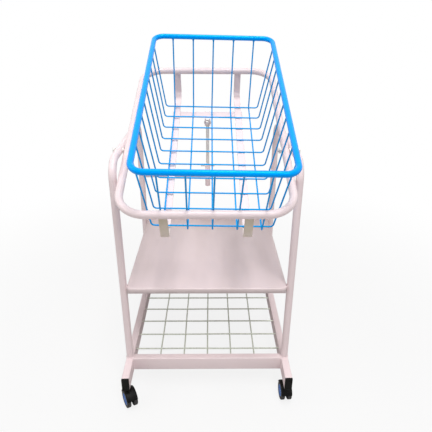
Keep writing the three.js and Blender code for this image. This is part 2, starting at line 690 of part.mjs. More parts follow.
addPiece(basket, 'basket_rim', basketRim(), 'enamel');
spaced(CROSS_WIRES, CROSS_PITCH).forEach((offset, i) => {
  const number = String(i + 1).padStart(2, '0');
  addPiece(basket, `basket_cross_wire_${number}`, basketCrossWire(BASKET_CENTRE + offset), 'enamel');
});
spaced(LONG_WIRES, LONG_PITCH).forEach((x, i) => {
  addPiece(basket, `basket_long_wire_${i + 1}`, basketLongWire(x), 'enamel');
});
basket.rotation.y = basketLean;
basket.position.copy(restPoint).sub(restPoint.clone().applyEuler(basket.rotation));
basket.position.x += BASKET_SIDE_PLAY;
basket.updateMatrix();
cradle.add(basket);

const headings = [[FRONT_HEADING, FRONT_RIGHT_HEADING], [REAR_HEADING, REAR_RIGHT_HEADING]];
ENDS.forEach(([endName, end], endIndex) => {
  SIDES.forEach(([sideName, side], sideIndex) => {
    const place = `${endName}_${sideName}`;
    addPiece(stand, `rail_end_cap_${place}`, railEndCap(side, end), 'plastic');
    const castor = new THREE.Group();
    addPiece(castor, `castor_hood_${place}`, castorHood(), 'plastic');
    addPiece(castor, `castor_axle_${place}`, castorAxle(), 'zinc');
    SIDES.forEach(([wheelName, wheelSide]) => {
      addPiece(castor, `castor_wheel_${place}_${wheelName}`, castorWheel(wheelSide), 'plastic');
    });
    castor.position.set(side * POST_X, stemDepths[endIndex], 0);
    castor.rotation.z = headings[endIndex][sideIndex];
    stand.add(castor);
  });
});

// The rim's front left corner and the rear end caps reach furthest: the origin lies midway between them
const rimCorner = at(RIM_BEND - RIM_WIDTH / 2, rimFront, RIM_RISE).applyMatrix4(basket.matrix);
const frontReach = PIVOT_DEPTH + rimCorner.y * Math.cos(TILT) - rimCorner.z * Math.sin(TILT) - RIM_TUBE / 2;
const rearReach = RAIL_REAR + CAP_HEAD;
const bassinet = new THREE.Group();
bassinet.add(stand, cradle);
bassinet.position.y = -(frontReach + rearReach) / 2;

export default bassinet;
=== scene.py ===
import json
import math

import bmesh
import bpy
from bpy.props import FloatProperty, FloatVectorProperty, PointerProperty
from mathutils import Matrix, Vector, noise


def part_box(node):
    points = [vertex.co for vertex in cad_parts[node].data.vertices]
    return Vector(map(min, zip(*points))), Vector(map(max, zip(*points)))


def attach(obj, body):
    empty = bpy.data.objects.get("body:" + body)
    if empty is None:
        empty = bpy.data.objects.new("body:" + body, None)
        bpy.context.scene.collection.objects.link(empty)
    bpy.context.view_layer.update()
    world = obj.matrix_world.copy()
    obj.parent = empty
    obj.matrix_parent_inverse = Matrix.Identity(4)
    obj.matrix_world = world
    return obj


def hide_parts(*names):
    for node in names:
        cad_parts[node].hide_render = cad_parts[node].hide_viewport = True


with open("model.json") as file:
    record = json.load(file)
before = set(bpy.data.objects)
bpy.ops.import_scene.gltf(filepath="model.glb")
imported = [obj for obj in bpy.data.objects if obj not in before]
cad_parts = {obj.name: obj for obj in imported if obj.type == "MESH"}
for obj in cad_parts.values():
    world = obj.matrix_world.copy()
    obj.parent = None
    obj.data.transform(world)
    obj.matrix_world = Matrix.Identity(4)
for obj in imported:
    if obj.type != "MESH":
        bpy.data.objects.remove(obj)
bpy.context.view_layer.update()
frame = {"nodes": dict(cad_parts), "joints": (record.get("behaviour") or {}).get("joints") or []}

bl_info = {
    "name": "Hospital bassinet",
    "version": (1, 0, 0),
    "blender": (4, 5, 0),
    "location": "View3D > Sidebar > Bassinet",
    "description": "Models the surfaces and finishes of a wire-basket bassinet on its tube stand",
    "category": "Object",
}

MM = 0.001
MERGE_DISTANCE = 0.001 * MM
QUARTER = math.pi / 2
FULL_TURN = 2 * math.pi
SIDES = (("left", -1), ("right", 1))
ENDS = ("front", "rear")
PLACES = ("front_left", "front_right", "rear_left", "rear_right")
X_AXIS = Vector((1, 0, 0))
Y_AXIS = Vector((0, 1, 0))
Z_AXIS = Vector((0, 0, 1))
SHARED = Matrix.Identity(4)  # the frame that all the nodes are given in

# How finely round forms and bends are drawn, and the angles above which an edge stays sharp
TUBE_SIDES = 32
RIM_SIDES = 28
WIRE_SIDES = 12
BEAD_SIDES = 8
SLEEVE_SIDES = 40
BORE_SIDES = 24
EAR_SIDES = 48
FRAME_STEPS = 16
RING_STEPS = 18
STRAP_STEPS = 12
RIM_STEPS = 14
WIRE_STEPS = 8
FOLD_STEPS = 5
CREASE = math.radians(40)
CASTOR_CREASE = math.radians(35)
SCREW_CREASE = math.radians(30)
HEXAGON_CREASE = math.radians(25)
EAR_CREASE = math.radians(60)
BEAD_CREASE = math.radians(70)

# Stand
CAP_EDGE = 1.6 * MM
CAP_BORDER = 2.2 * MM
CAP_STEP = 1 * MM
CAP_DISH = 0.7 * MM
RAIL_WALL = 2 * MM
SHELF_CELLS = 36
SHELF_WAVE_SIZE = 130 * MM
SHELF_CALM = 0.2  # share of the way in from the edges over which the wave grows to its whole
NET_SUNK = 1.5 * MM  # how far the net's wires run into their welds
NET_STEPS = 24
NET_SEED = 1  # gives the net's wires the same wander in every run

# Stay and pivots
ROD_RADIUS = 5 * MM
ROD_EDGE = 1 * MM
PIN_RADIUS = 3 * MM
PIN_HEAD = 2 * MM
STAY_EDGE = 0.7 * MM
EYE_OVERLAP = 0.8  # how far below the eye's middle the rod ends, of the eye's radius
SCREW_RADIUS = 4 * MM
THREAD_PITCH = 1.25 * MM
THREAD_ROOT = 0.87  # of the screw's radius
BOSS_RADIUS = 7 * MM
BOSS_START = 0.86  # of the stay tube's radius, a little inside its wall
BAR_RADIUS = 3 * MM
BORE_SHARE = 0.67  # of the stay tube's radius
BORE_PLAY = 0.3 * MM
BOLT_RADIUS = 4 * MM
BOLT_HEAD_HEIGHT = 5.5 * MM
BOLT_THREAD = 14 * MM
NUT_PLAY = 0.2 * MM
SPACER_EDGE = 0.3 * MM
HEXAGON_FACE = 0.93  # width of a hexagon's end faces, of its width across
HEXAGON_CHAMFER = 0.15  # height of its chamfers, of its own height

# Cradle and basket
STRAP_SUNK = 2 * MM
STRAP_EDGE = 0.8 * MM
EAR_EDGE = 0.5 * MM
PAINTED_SHADE_REACH = 90 * MM  # how far back from their foot end the straps carry painted shade
RIM_SHINE = 0.7  # specular level of the rim's coat
WIRE_SHINE = 0.22  # and of the wires'
RIM_INSET = 0.1 * MM  # keeps the round rim inside the CAD box
FLARE_BELOW = 6 * MM  # from the rim's surface down to where a wire starts to widen
FLARE = ((3.0 * MM, 1.15), (2.0 * MM, 1.3), (3.5 * MM, 1.45))  # steps up, and how much wider
SIX_SIDED = math.cos(math.pi / 6)  # a six-sided CAD wire is this much slimmer across its flats

# Castors
HOOD_WALL = 2.5 * MM
HOOD_START = math.radians(20)
HOOD_SWEEP = math.radians(148)
HOOD_ROOM = 1 * MM  # between the tread and the hood
HOOD_SHOULDER = 3 * MM
HOOD_EDGE = 1 * MM
HOOD_STEPS = 32
WEB_ROOM = 0.6 * MM  # between a wheel and the hood's web
HUB_RADIUS = 12 * MM
HUB_BORE = 3.4 * MM
NECK_RADIUS = 8.5 * MM
COLLAR = ((0.6 * MM, 1.12), (2.8 * MM, 1), (0.4 * MM, 0.95))  # steps up, and how much wider
COLLAR_DROP = 4 * MM  # from the rail's underside
STEM_RADIUS = 5 * MM
WHEEL_BORE = 3.3 * MM
WHEEL_SIDES = 56
TREAD_ROUND = 2.2 * MM
DISC_RADIUS = 16.5 * MM
DISC_RECESS = 1.4 * MM
DISC_ROOM = 0.3 * MM  # round the disc, in its recess
DISC_LIFT = 0.1 * MM  # of the disc off the recess's floor
RECESS_FLARE = (0.4 * MM, 1.2 * MM)  # depth and width of the recess's opening
DISC_SIDES = 48
# Height above the disc's seat and radius: a raised border, from its edge inwards, and a boss
DISC_BORDER = ((0, 0), (0.8 * MM, 0), (1.15 * MM, -0.6 * MM), (1.15 * MM, -2 * MM),
               (0.5 * MM, -2.6 * MM))
DISC_BOSS = ((0.5 * MM, 5.5 * MM), (1 * MM, 5 * MM), (1.2 * MM, 3.5 * MM), (1.25 * MM, 0))
SPOKES = 5
SPOKE_START = 4 * MM
SPOKE_END = 1.5 * MM  # from the disc's edge
SPOKE_HALF = 1.1 * MM
SPOKE_RISE = (0.2 * MM, 1 * MM)  # its underside and top, above the disc's seat

# Welds
WELD_RIPPLE = (0.7 * MM, 3 * MM)  # height and size of a bead's unevenness
BEAD_TAPER = 0.6  # length of a bead's tapered ends, of its radius
LIP_WELD_SHARE = 0.8  # of the other beads' radius
LIP_WELD_SUNK = 0.6 * MM
LIP_WELD_OFF = 4 * MM  # from the post's middle
BAR_WELD_FOOT = 3 * MM  # from the bar's underside
BAR_WELD_INSET = 2 * MM
POST_WELD_SUNK = 0.8 * MM
GUIDE_WELD_OFF = 4.5 * MM  # from the stay tube's middle
GUIDE_WELD_HALF = 6 * MM  # half its length
RING_WELD_SUNK = 0.5 * MM

# Camera, fitted to the photograph, and studio light
PHOTO_SIDE = 432
CAMERA_FOCUS = 433.97  # in the photograph's pixels
CAMERA_PLACE = Vector((0.0100, -1.1314, 0.9820))
CAMERA_PITCH = math.radians(24.524)
CAMERA_YAW = math.radians(0.759)
CAMERA_ROLL = math.radians(0.28)
FLOOR_RADIUS = 9.0
FLOOR_SIDES = 96
FLOOR_GLOW = 0.84  # share of the floor near the object that the camera sees as plain white
FLOOR_FADE = (0.55, 1.7)  # metres from the middle between which that share grows to the whole
WORLD_LIGHT = 0.34
WHITE = (1, 1, 1, 1)
LAMPS = (
    # name, place, target, width in metres, power in watts
    ("key_lamp", (0.7, -2.0, 3.6), (0, 0.1, 0.7), 1.6, 66),
    ("fill_lamp", (-1.8, -0.6, 1.9), (0, 0, 0.6), 1.6, 11),
    ("top_lamp", (0.3, -0.6, 6.0), (0, 0, 0.4), 1.8, 138),
)

# A Mix node's colour sockets; a Map Range node's are its value, then from and to
COLOUR_A = 6
COLOUR_B = 7
COLOUR_OUT = 2

# The cradle's own frame: x across, y up the slope from the pivot, z square to the ring
JOINTS = {joint["name"]: joint for joint in frame["joints"]}
PIVOT = Vector(JOINTS["cradle_tilt"]["pos_m"])
LIFT = Vector(JOINTS["basket_lift"]["axis"])
CRADLE = Matrix.Translation(PIVOT) @ Matrix.Rotation(math.atan2(-LIFT.y, LIFT.z), 4, "X")


# Measures taken from the frame


def box_in(node, place):
    """Lowest and highest corner of a CAD node, measured in another frame."""
    back = place.inverted()
    points = [back @ vertex.co for vertex in frame["nodes"][node].data.vertices]
    return Vector(map(min, *points)), Vector(map(max, *points))


def size_of(node, place=SHARED):
    low, high = box_in(node, place)
    return high - low


def middle_of(node, place=SHARED):
    low, high = box_in(node, place)
    return (low + high) / 2


def basket_frame():
    """The cradle's frame, leant sideways with the loose basket."""
    across = middle_of("basket_long_wire_5", CRADLE) - middle_of("basket_long_wire_1", CRADLE)
    return CRADLE @ Matrix.Rotation(math.atan2(-across.z, across.x), 4, "Y")


def castor_frame(place):
    """A castor's own frame: on the floor under its stem, its wheels trailing along y."""
    stem = Vector(JOINTS[f"swivel_{place}"]["pos_m"])
    axle = Vector(JOINTS[f"spin_{place}_left"]["axis"])
    turn = Matrix.Rotation(math.atan2(axle.y, axle.x), 4, "Z")
    return Matrix.Translation((stem.x, stem.y, 0)) @ turn


BASKET = basket_frame()


# Sizes and colours


def linear(hex_colour):
    """An sRGB hex colour as linear red, green, blue and alpha."""
    values = [int(hex_colour[i:i + 2], 16) / 255 for i in (1, 3, 5)]
    light = [v / 12.92 if v <= 0.04045 else ((v + 0.055) / 1.055) ** 2.4 for v in values]
    return (*light, 1.0)


def length(name, description, default):
    return FloatProperty(
        name=name, description=description, default=default, min=0, precision=5, unit="LENGTH")


def colour(name, description, hex_colour):
    return FloatVectorProperty(
        name=name, description=description, default=linear(hex_colour), size=4, min=0, max=1,
        subtype="COLOR")


class BassinetSizes(bpy.types.PropertyGroup):
    """Sizes of the modelled surfaces, read from the frame where it shows them"""

    frame_tube: length("Frame tube", "Diameter of the side frames", size_of("side_frame_left").x)
    frame_bend: length("Frame bend", "Bend radius of the side frames", 45 * MM)
    ring_tube: length("Ring tube", "Diameter of the cradle ring", size_of("cradle_ring", CRADLE).z)
    ring_bend: length("Ring bend", "Bend radius of the cradle ring", 65 * MM)
    rail_corner: length("Rail corner", "Outside corner radius of the box tubes", 2 * MM)
    strap_thickness: length("Strap thickness", "Thickness of the cradle straps", 4 * MM)
    strap_bend: length("Strap bend", "Bend radius of the cradle straps", 16 * MM)
    bar_width: length("Under bar width", "Width of the flat bar under the straps", 25 * MM)
    bar_thickness: length("Under bar thickness", "Thickness of that flat bar", 4 * MM)
    ear_thickness: length("Ear thickness", "Thickness of the two slotted ears", 3 * MM)
    ear_gap: length("Ear gap", "Clear width between the two ears", 11 * MM)
    slot_width: length("Slot width", "Width of the slots that carry the stay's pin", 7 * MM)
    shelf_sheet: length("Shelf sheet", "Thickness of the shelf's sheet", 1.5 * MM)
    shelf_fold: length("Shelf fold", "Fold radius of the shelf's edges", 3 * MM)
    shelf_lip: length("Shelf lip", "Height of the turned-down edges", 15 * MM)
    shelf_wave: length("Shelf wave", "Unevenness of the thin sheet", 0.5 * MM)
    net_wire: length("Net wire", "Diameter of the wire shelf's wires", 4 * MM)
    net_pitch_long: length("Net pitch across", "Spacing of the front-to-rear wires", 68 * MM)
    net_pitch_cross: length("Net pitch along", "Spacing of the cross wires", 63.5 * MM)
    net_first: length("First cross wire", "From the front cross bar's middle to it", 42 * MM)
    net_wave: length("Net wave", "How far the soft net wires wander", 0.9 * MM)
    rim_tube: length("Rim", "Diameter of the basket's rim", size_of("basket_rim", BASKET).z)
    rim_bend: length("Rim bend", "Corner radius of the basket's rim", 28 * MM)
    basket_wire: length("Basket wire", "Diameter of the basket's wires", 4 * MM)
    wire_bend: length("Wire bend", "Bend radius of the basket's wires", 9 * MM)
    floor_width: length("Floor width", "Width of the basket's floor", 285 * MM)
    floor_length: length("Floor length", "Length of the basket's floor", 518 * MM)
    weld: length("Weld bead", "Radius of the weld beads", 2.2 * MM)


class BassinetColours(bpy.types.PropertyGroup):
    """Colours of the finishes"""

    paint: colour("Stand", "Pale powder coat of the stand and cradle", "#ECDADB")
    # Colour of the shelf's wiping marks, and also of the painted shade that darkens the shelf
    # towards its rear
    smudge: colour("Smudge", "Handling marks on the shelf", "#BFAFAD")
    # Painted shade for the straps' foot ends, where the ring above shades them
    handled: colour("Handled", "Yellowed foot end of the straps", "#CBC0A4")
    rim: colour("Basket rim", "Blue powder coat of the basket's rim", "#009CFF")
    wire: colour("Basket wires", "The same coat, thinner on the basket's wires", "#00A2EC")
    net: colour("Net", "Galvanised wire of the lower shelf", "#D8DDCE")
    zinc: colour("Zinc", "Plated bolts, pins and rods", "#EAE5E1")
    black: colour("Black plastic", "Castor hoods and end caps", "#080807")
    tread: colour("Tread", "Castor wheels", "#1B1A1C")
    disc: colour("Disc", "Castor discs", "#0A62B8")
    ground: colour("Floor", "Studio floor", "#D0CFCE")


def sizes():
    return bpy.context.scene.bassinet_sizes


def colours():
    return bpy.context.scene.bassinet_colours


# Modelling


def of_kind(items, kind):
    return [item for item in items if isinstance(item, kind)]


def ends_of(edges):
    return list({vertex for edge in edges for vertex in edge.verts})


def fill(bm, edges):
    bmesh.ops.contextual_create(bm, geom=edges)


def set_in(bm, place):
    bmesh.ops.transform(bm, matrix=place, verts=bm.verts)


def closed_line(bm, points):
    """Edges through the points and back to the first."""
    verts = [bm.verts.new(point) for point in points]
    return [bm.edges.new(pair) for pair in zip(verts, verts[1:] + verts[:1])]


def open_circle(bm, radius, place, along, sides):
    """A ring of edges square to a direction, the start of a tube or wire."""
    turn = along.to_track_quat("Z", "Y").to_matrix().to_4x4()
    made = bmesh.ops.create_circle(
        bm, radius=radius, segments=sides, matrix=Matrix.Translation(place) @ turn)
    return list({edge for vertex in made["verts"] for edge in vertex.link_edges})


def pull(bm, edges, by, scale=1):
    """Extrudes an open section straight on, and scales it about its middle."""
    made = bmesh.ops.extrude_edge_only(bm, edges=edges)["geom"]
    verts = of_kind(made, bmesh.types.BMVert)
    bmesh.ops.translate(bm, vec=by, verts=verts)
    if scale != 1:
        centre = sum((vertex.co for vertex in verts), Vector()) / len(verts)
        space = Matrix.Translation(-centre)
        bmesh.ops.scale(bm, vec=(scale,) * 3, space=space, verts=verts)
    new = set(verts)
    return [edge for edge in of_kind(made, bmesh.types.BMEdge) if new.issuperset(edge.verts)]


def turn_round(bm, edges, centre, axis, angle, steps):
    """Spins an open section about an axis."""
    made = bmesh.ops.spin(
        bm, geom=edges, cent=centre, axis=axis, angle=angle, steps=steps, use_merge=False)
    return of_kind(made["geom_last"], bmesh.types.BMEdge)


def follow(bm, edges, corners, bend, steps=10, pieces=1):
    """Carries an open section along straight runs, with each corner spun to the bend radius."""
    runs = [(after - before).normalized() for before, after in zip(corners, corners[1:])]
    here = corners[0]
    for i, run in enumerate(runs):
        last = i == len(runs) - 1
        turn = 0 if last else run.angle(runs[i + 1])
        cut_off = bend * math.tan(turn / 2)
        stop = corners[i + 1] - run * cut_off
        for _ in range(pieces):
            edges = pull(bm, edges, (stop - here) / pieces)
        if not last:
            axis = run.cross(runs[i + 1]).normalized()
            edges = turn_round(bm, edges, stop + axis.cross(run) * bend, axis, turn, steps)
            here = corners[i + 1] + runs[i + 1] * cut_off
    return edges


def loop_tube(bm, radius, corners, bend, sides, steps):
    """A closed loop of tube that starts and ends in the middle of its first run."""
    start = (corners[0] + corners[1]) / 2
    first = open_circle(bm, radius, start, (corners[1] - corners[0]).normalized(), sides)
    follow(bm, first, [start, *corners[1:], corners[0], start], bend, steps)


def level_loop(half_width, front, rear, level, x=0):
    """Corners of a level loop, anticlockwise from the front left."""
    left, right = x - half_width, x + half_width
    plan = ((left, front), (right, front), (right, rear), (left, rear))
    return [Vector((across, along, level)) for across, along in plan]


def upright_u(x, front, rear, ends, turn):
    """Corners of a U in an upright plane, from its front end to its rear end."""
    plan = ((front, ends), (front, turn), (rear, turn), (rear, ends))
    return [Vector((x, along, height)) for along, height in plan]


def turned(bm, profile, place, along, sides=TUBE_SIDES):
    """Spins a profile of (distance along the axis, radius) points once round the axis."""
    turn = along.to_track_quat("Z", "Y").to_matrix()
    verts = [bm.verts.new(place + turn @ Vector((out, 0, height))) for height, out in profile]
    edges = [bm.edges.new(pair) for pair in zip(verts, verts[1:])]
    bmesh.ops.spin(
        bm, geom=verts + edges, cent=place, axis=along, angle=FULL_TURN, steps=sides,
        use_merge=True)


def sleeve(start, end, bore, radius):
    """Profile of a plain sleeve."""
    return [(start, bore), (start, radius), (end, radius), (end, bore), (start, bore)]


def both_ends(half, end):
    """Profile of a bar from the profile of one of its ends."""
    near = [(along - half, out) for along, out in end]
    return near + [(half - along, out) for along, out in reversed(end)]


def thread(start, end, radius):
    """Profile of a screw thread, drawn as close-set rings."""
    count = max(1, round((end - start) / THREAD_PITCH))
    step = (end - start) / count
    root = THREAD_ROOT * radius
    profile = [(start, root)]
    for i in range(count):
        profile += [(start + (i + 0.5) * step, radius), (start + (i + 1) * step, root)]
    return profile


def closed_sector(bm, outline, place, start, sweep, steps):
    """Spins a closed outline of (x, radius) points about the x axis, and fills its ends."""
    across = Vector((0, math.cos(start), math.sin(start)))
    first = closed_line(bm, [place + X_AXIS * x + across * radius for x, radius in outline])
    last = turn_round(bm, first, place, X_AXIS, sweep, steps)
    fill(bm, first)
    fill(bm, last)


def block(bm, low, high):
    place = Matrix.LocRotScale((low + high) / 2, None, high - low)
    return bmesh.ops.create_cube(bm, size=1, matrix=place)["verts"]


def bevel(bm, edges, width, segments):
    bmesh.ops.bevel(
        bm, geom=edges, offset=width, segments=segments, profile=0.5, affect="EDGES", material=-1,
        clamp_overlap=True)


def soften(bm, width, segments=2, least=CREASE, test=None):
    """Bevels the sharp edges, or those of them that pass a test."""
    edges = [
        edge for edge in bm.edges
        if len(edge.link_faces) == 2 and edge.calc_face_angle() > least
        and (test is None or test(edge))
    ]
    bevel(bm, edges, width, segments)


def hexagon(bm, across, height, place, along, bore=0):
    """A hexagon head or nut with chamfered ends, and a bore if it has one."""
    outline = open_circle(bm, across / math.sqrt(3) * HEXAGON_FACE, place, along, 6)
    bmesh.ops.subdivide_edges(bm, edges=outline, cuts=3)
    first = [edge for edge in bm.edges if edge.is_wire]
    chamfer = along * height * HEXAGON_CHAMFER
    outer = pull(bm, first, chamfer, 1 / HEXAGON_FACE)
    outer = pull(bm, outer, along * height - 2 * chamfer)
    last = pull(bm, outer, chamfer, HEXAGON_FACE)
    if bore:
        inner = open_circle(bm, bore / 2, place, along, BORE_SIDES)
        bmesh.ops.bridge_loops(bm, edges=first + inner)
        bmesh.ops.bridge_loops(bm, edges=last + pull(bm, inner, along * height))
    else:
        fill(bm, first)
        fill(bm, last)


def bead_round(bm, place, along, radius, bead):
    """A weld bead round a tube."""
    turn = along.to_track_quat("Z", "Y").to_matrix()
    start = place + turn @ Vector((radius, 0, 0))
    edges = open_circle(bm, bead, start, turn @ Y_AXIS, BEAD_SIDES)
    bmesh.ops.spin(
        bm, geom=edges, cent=place, axis=along, angle=FULL_TURN, steps=SLEEVE_SIDES,
        use_merge=True)


def bead_along(bm, start, end, bead):
    """A straight weld bead with tapered ends."""
    along = (end - start).normalized()
    taper = along * bead * BEAD_TAPER
    steps = max(3, round((end - start).length / bead))
    edges = open_circle(bm, bead / 2, start, along, BEAD_SIDES)
    fill(bm, edges)
    edges = pull(bm, edges, taper, 2)
    edges = follow(bm, edges, [start + taper, end], 0, pieces=steps)
    fill(bm, pull(bm, edges, taper, 0.5))


def ripple(bm):
    """Gives weld beads their uneven surface."""
    height, size = WELD_RIPPLE
    bm.normal_update()
    for vertex in bm.verts:
        vertex.co += vertex.normal * height * noise.noise(vertex.co / size)


def piece(name, bm, material, body, nodes=(), sharp=CREASE):
    """Turns a bmesh into a piece that rides on a body and stands for CAD nodes."""
    bmesh.ops.remove_doubles(bm, verts=bm.verts, dist=MERGE_DISTANCE)
    bmesh.ops.recalc_face_normals(bm, faces=bm.faces)
    mesh = bpy.data.meshes.new(name)
    bm.to_mesh(mesh)
    bm.free()
    mesh.shade_smooth()
    mesh.set_sharp_from_angle(angle=sharp)
    mesh.materials.append(material)
    made = bpy.data.objects.new(name, mesh)
    bpy.context.scene.collection.objects.link(made)
    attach(made, body)
    if nodes:
        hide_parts(*nodes)
    return made


# Materials


def feed(tree, node, inputs):
    """Fills a node's inputs, named or in order: a node or socket is linked, another value set."""
    for name, value in inputs.items() if isinstance(inputs, dict) else enumerate(inputs):
        if isinstance(value, bpy.types.Node):
            value = value.outputs[0]
        if isinstance(value, bpy.types.NodeSocket):
            tree.links.new(value, node.inputs[name])
        else:
            node.inputs[name].default_value = value


def add(tree, kind, inputs=(), **settings):
    """Adds a node with its settings and inputs."""
    node = tree.nodes.new(kind)
    for name, value in settings.items():
        setattr(node, name, value)
    feed(tree, node, inputs)
    return node


def new_finish(name, colour_name):
    """A new material, with its tree, shader, Object coordinates and base colour."""
    material = bpy.data.materials.new(name)
    material.use_nodes = True
    tree = material.node_tree
    place = add(tree, "ShaderNodeTexCoord").outputs["Object"]
    base = tuple(getattr(colours(), colour_name))
    return material, tree, tree.nodes["Principled BSDF"], place, base


def scaled(colour_value, by):
    return tuple(channel * by for channel in colour_value[:3]) + (1.0,)


def per_mm(size):
    """Texture scale for a pattern of that size in millimetres, on coordinates in metres."""
    return 1 / (size * MM)


def once(make):
    """Makes a material on its first use and gives the same one after that."""
    made = {}

    def kept(*args):
        if args not in made:
            made[args] = make(*args)
        return made[args]

    return kept


def mottled(tree, place, base, size, detail, darkest, lightest):
    """Patches of a size in millimetres: their pattern, and the base colour toned by it."""
    tone = add(tree, "ShaderNodeTexNoise",
               {"Vector": place, "Scale": per_mm(size), "Detail": detail})
    film = add(tree, "ShaderNodeMix",
               {0: tone, COLOUR_A: scaled(base, darkest), COLOUR_B: scaled(base, lightest)},
               data_type="RGBA")
    return tone, film.outputs[COLOUR_OUT]


def dusted(tree, place, base, dust_and_shade, size, onset, most):
    """Dust in patches of a size in millimetres: their pattern, and the base colour under it."""
    patches = add(tree, "ShaderNodeTexNoise",
                  {"Vector": place, "Scale": per_mm(size), "Detail": 6.0})
    share = add(tree, "ShaderNodeMapRange", [patches, onset, 0.8, 0.0, most])
    film = add(tree, "ShaderNodeMix", {0: share, COLOUR_A: base, COLOUR_B: linear(dust_and_shade)},
               data_type="RGBA")
    return patches, film.outputs[COLOUR_OUT]


def pebbled(tree, place, size, strength, depth=0.2, detail=2.0):
    """Normals of a skin with bumps of that size and depth in millimetres."""
    bumps = add(tree, "ShaderNodeTexNoise",
                {"Vector": place, "Scale": per_mm(size), "Detail": detail})
    return add(tree, "ShaderNodeBump",
               {"Height": bumps, "Strength": strength, "Distance": depth * MM})


@once
def pale_powder_coat():
    """Polyester powder baked on steel: an even pale film, slightly dimpled, with a few chips."""
    material, tree, shader, place, base = new_finish("pale_powder_coat", "paint")
    tone, film = mottled(tree, place, base, 90, 4.0, 0.95, 1.03)
    # Chips are rare, because only a cell centre that lies near the surface makes one
    cells = add(tree, "ShaderNodeTexVoronoi", {"Vector": place, "Scale": per_mm(38)})
    chip = add(tree, "ShaderNodeMath", [cells, 0.02], operation="LESS_THAN")
    chipped = add(tree, "ShaderNodeMix",
                  {0: chip, COLOUR_A: film, COLOUR_B: linear("#B5A8A4")}, data_type="RGBA")
    feed(tree, shader, {
        "Base Color": chipped.outputs[COLOUR_OUT],
        "Roughness": add(tree, "ShaderNodeMapRange", [tone, 0, 1, 0.26, 0.44]),
        # Real dimples are about a millimetre across; these are coarser so that they show
        "Normal": pebbled(tree, place, 5, 0.06),
    })
    return material


@once
def handled_powder_coat():
    """The same coat on the straps, with painted shade on their foot ends under the ring, broken
    into soft patches.
    """
    material, tree, shader, place, base = new_finish("handled_powder_coat", "paint")
    front = box_in("cradle_strap_left", SHARED)[0].y
    along = add(tree, "ShaderNodeSeparateXYZ", [place]).outputs["Y"]
    # Painted shade: strongest at the straps' foot ends, fading out towards the rear
    reach = add(tree, "ShaderNodeMapRange", [along, front, front + PAINTED_SHADE_REACH, 0.85, 0.0])
    patches = add(tree, "ShaderNodeTexNoise",
                  {"Vector": place, "Scale": per_mm(18), "Detail": 4.0})
    patchy = add(tree, "ShaderNodeMapRange", [patches, 0.25, 0.6, 0.7, 1.0])
    painted_shade = add(tree, "ShaderNodeMath", [reach, patchy], operation="MULTIPLY")
    coat_with_painted_shade = add(tree, "ShaderNodeMix",
                {0: painted_shade, COLOUR_A: base, COLOUR_B: tuple(colours().handled)}, data_type="RGBA")
    feed(tree, shader, {
        "Base Color": coat_with_painted_shade.outputs[COLOUR_OUT],
        "Roughness": 0.42,
        "Normal": pebbled(tree, place, 5, 0.06),
    })
    return material


@once
def smudged_powder_coat():
    """The same coat on the shelf, dulled by wiping marks and by things slid in and out, and with
    painted shade towards the rear.
    """
    material, tree, shader, place, base = new_finish("smudged_powder_coat", "paint")
    # Wiping marks run front to rear, about 55 mm wide and six times as long
    stretched = add(tree, "ShaderNodeMapping",
                    {"Vector": place, "Scale": (per_mm(55), per_mm(340), per_mm(60))})
    streaks = add(tree, "ShaderNodeTexNoise", {"Vector": stretched, "Scale": 1.0, "Detail": 2.0})
    patches = add(tree, "ShaderNodeTexNoise",
                  {"Vector": place, "Scale": per_mm(240), "Detail": 3.0})
    both = add(tree, "ShaderNodeMath", [streaks, patches], operation="MULTIPLY")
    wiped = add(tree, "ShaderNodeMapRange", [both, 0.18, 0.42, 0.25, 0.6])
    # Painted shade: the shelf is darkened steadily from its front to its rear
    low, high = box_in("solid_shelf", SHARED)
    along = add(tree, "ShaderNodeSeparateXYZ", [place]).outputs["Y"]
    dust_and_shade = add(tree, "ShaderNodeMapRange", [along, low.y, high.y, 0.0, 0.5])
    wipes_and_painted_shade = add(tree, "ShaderNodeMath", [wiped, dust_and_shade], operation="ADD", use_clamp=True)
    coat_with_painted_shade = add(tree, "ShaderNodeMix",
                {0: wipes_and_painted_shade, COLOUR_A: base, COLOUR_B: tuple(colours().smudge)}, data_type="RGBA")
    feed(tree, shader, {
        "Base Color": coat_with_painted_shade.outputs[COLOUR_OUT],
        "Roughness": add(tree, "ShaderNodeMapRange", [wipes_and_painted_shade, 0, 1, 0.3, 0.52]),
        "Normal": pebbled(tree, place, 6, 0.06),
    })
    return material


@once
def blue_powder_coat(part, shine):
    """Thick glossy powder coat: a bright blue that flows round the welds, darker in patches."""
    material, tree, shader, place, base = new_finish(f"blue_powder_coat_{part}", part)
    tone, film = mottled(tree, place, base, 45, 3.0, 0.88, 1.08)
    feed(tree, shader, {
        "Base Color": film,
        "Specular Tint": linear("#10D0FF"),
        "Specular IOR Level": shine,
        "Roughness": add(tree, "ShaderNodeMapRange", [tone, 0, 1, 0.18, 0.34]),
        "Normal": pebbled(tree, place, 6, 0.07),
    })
    return material


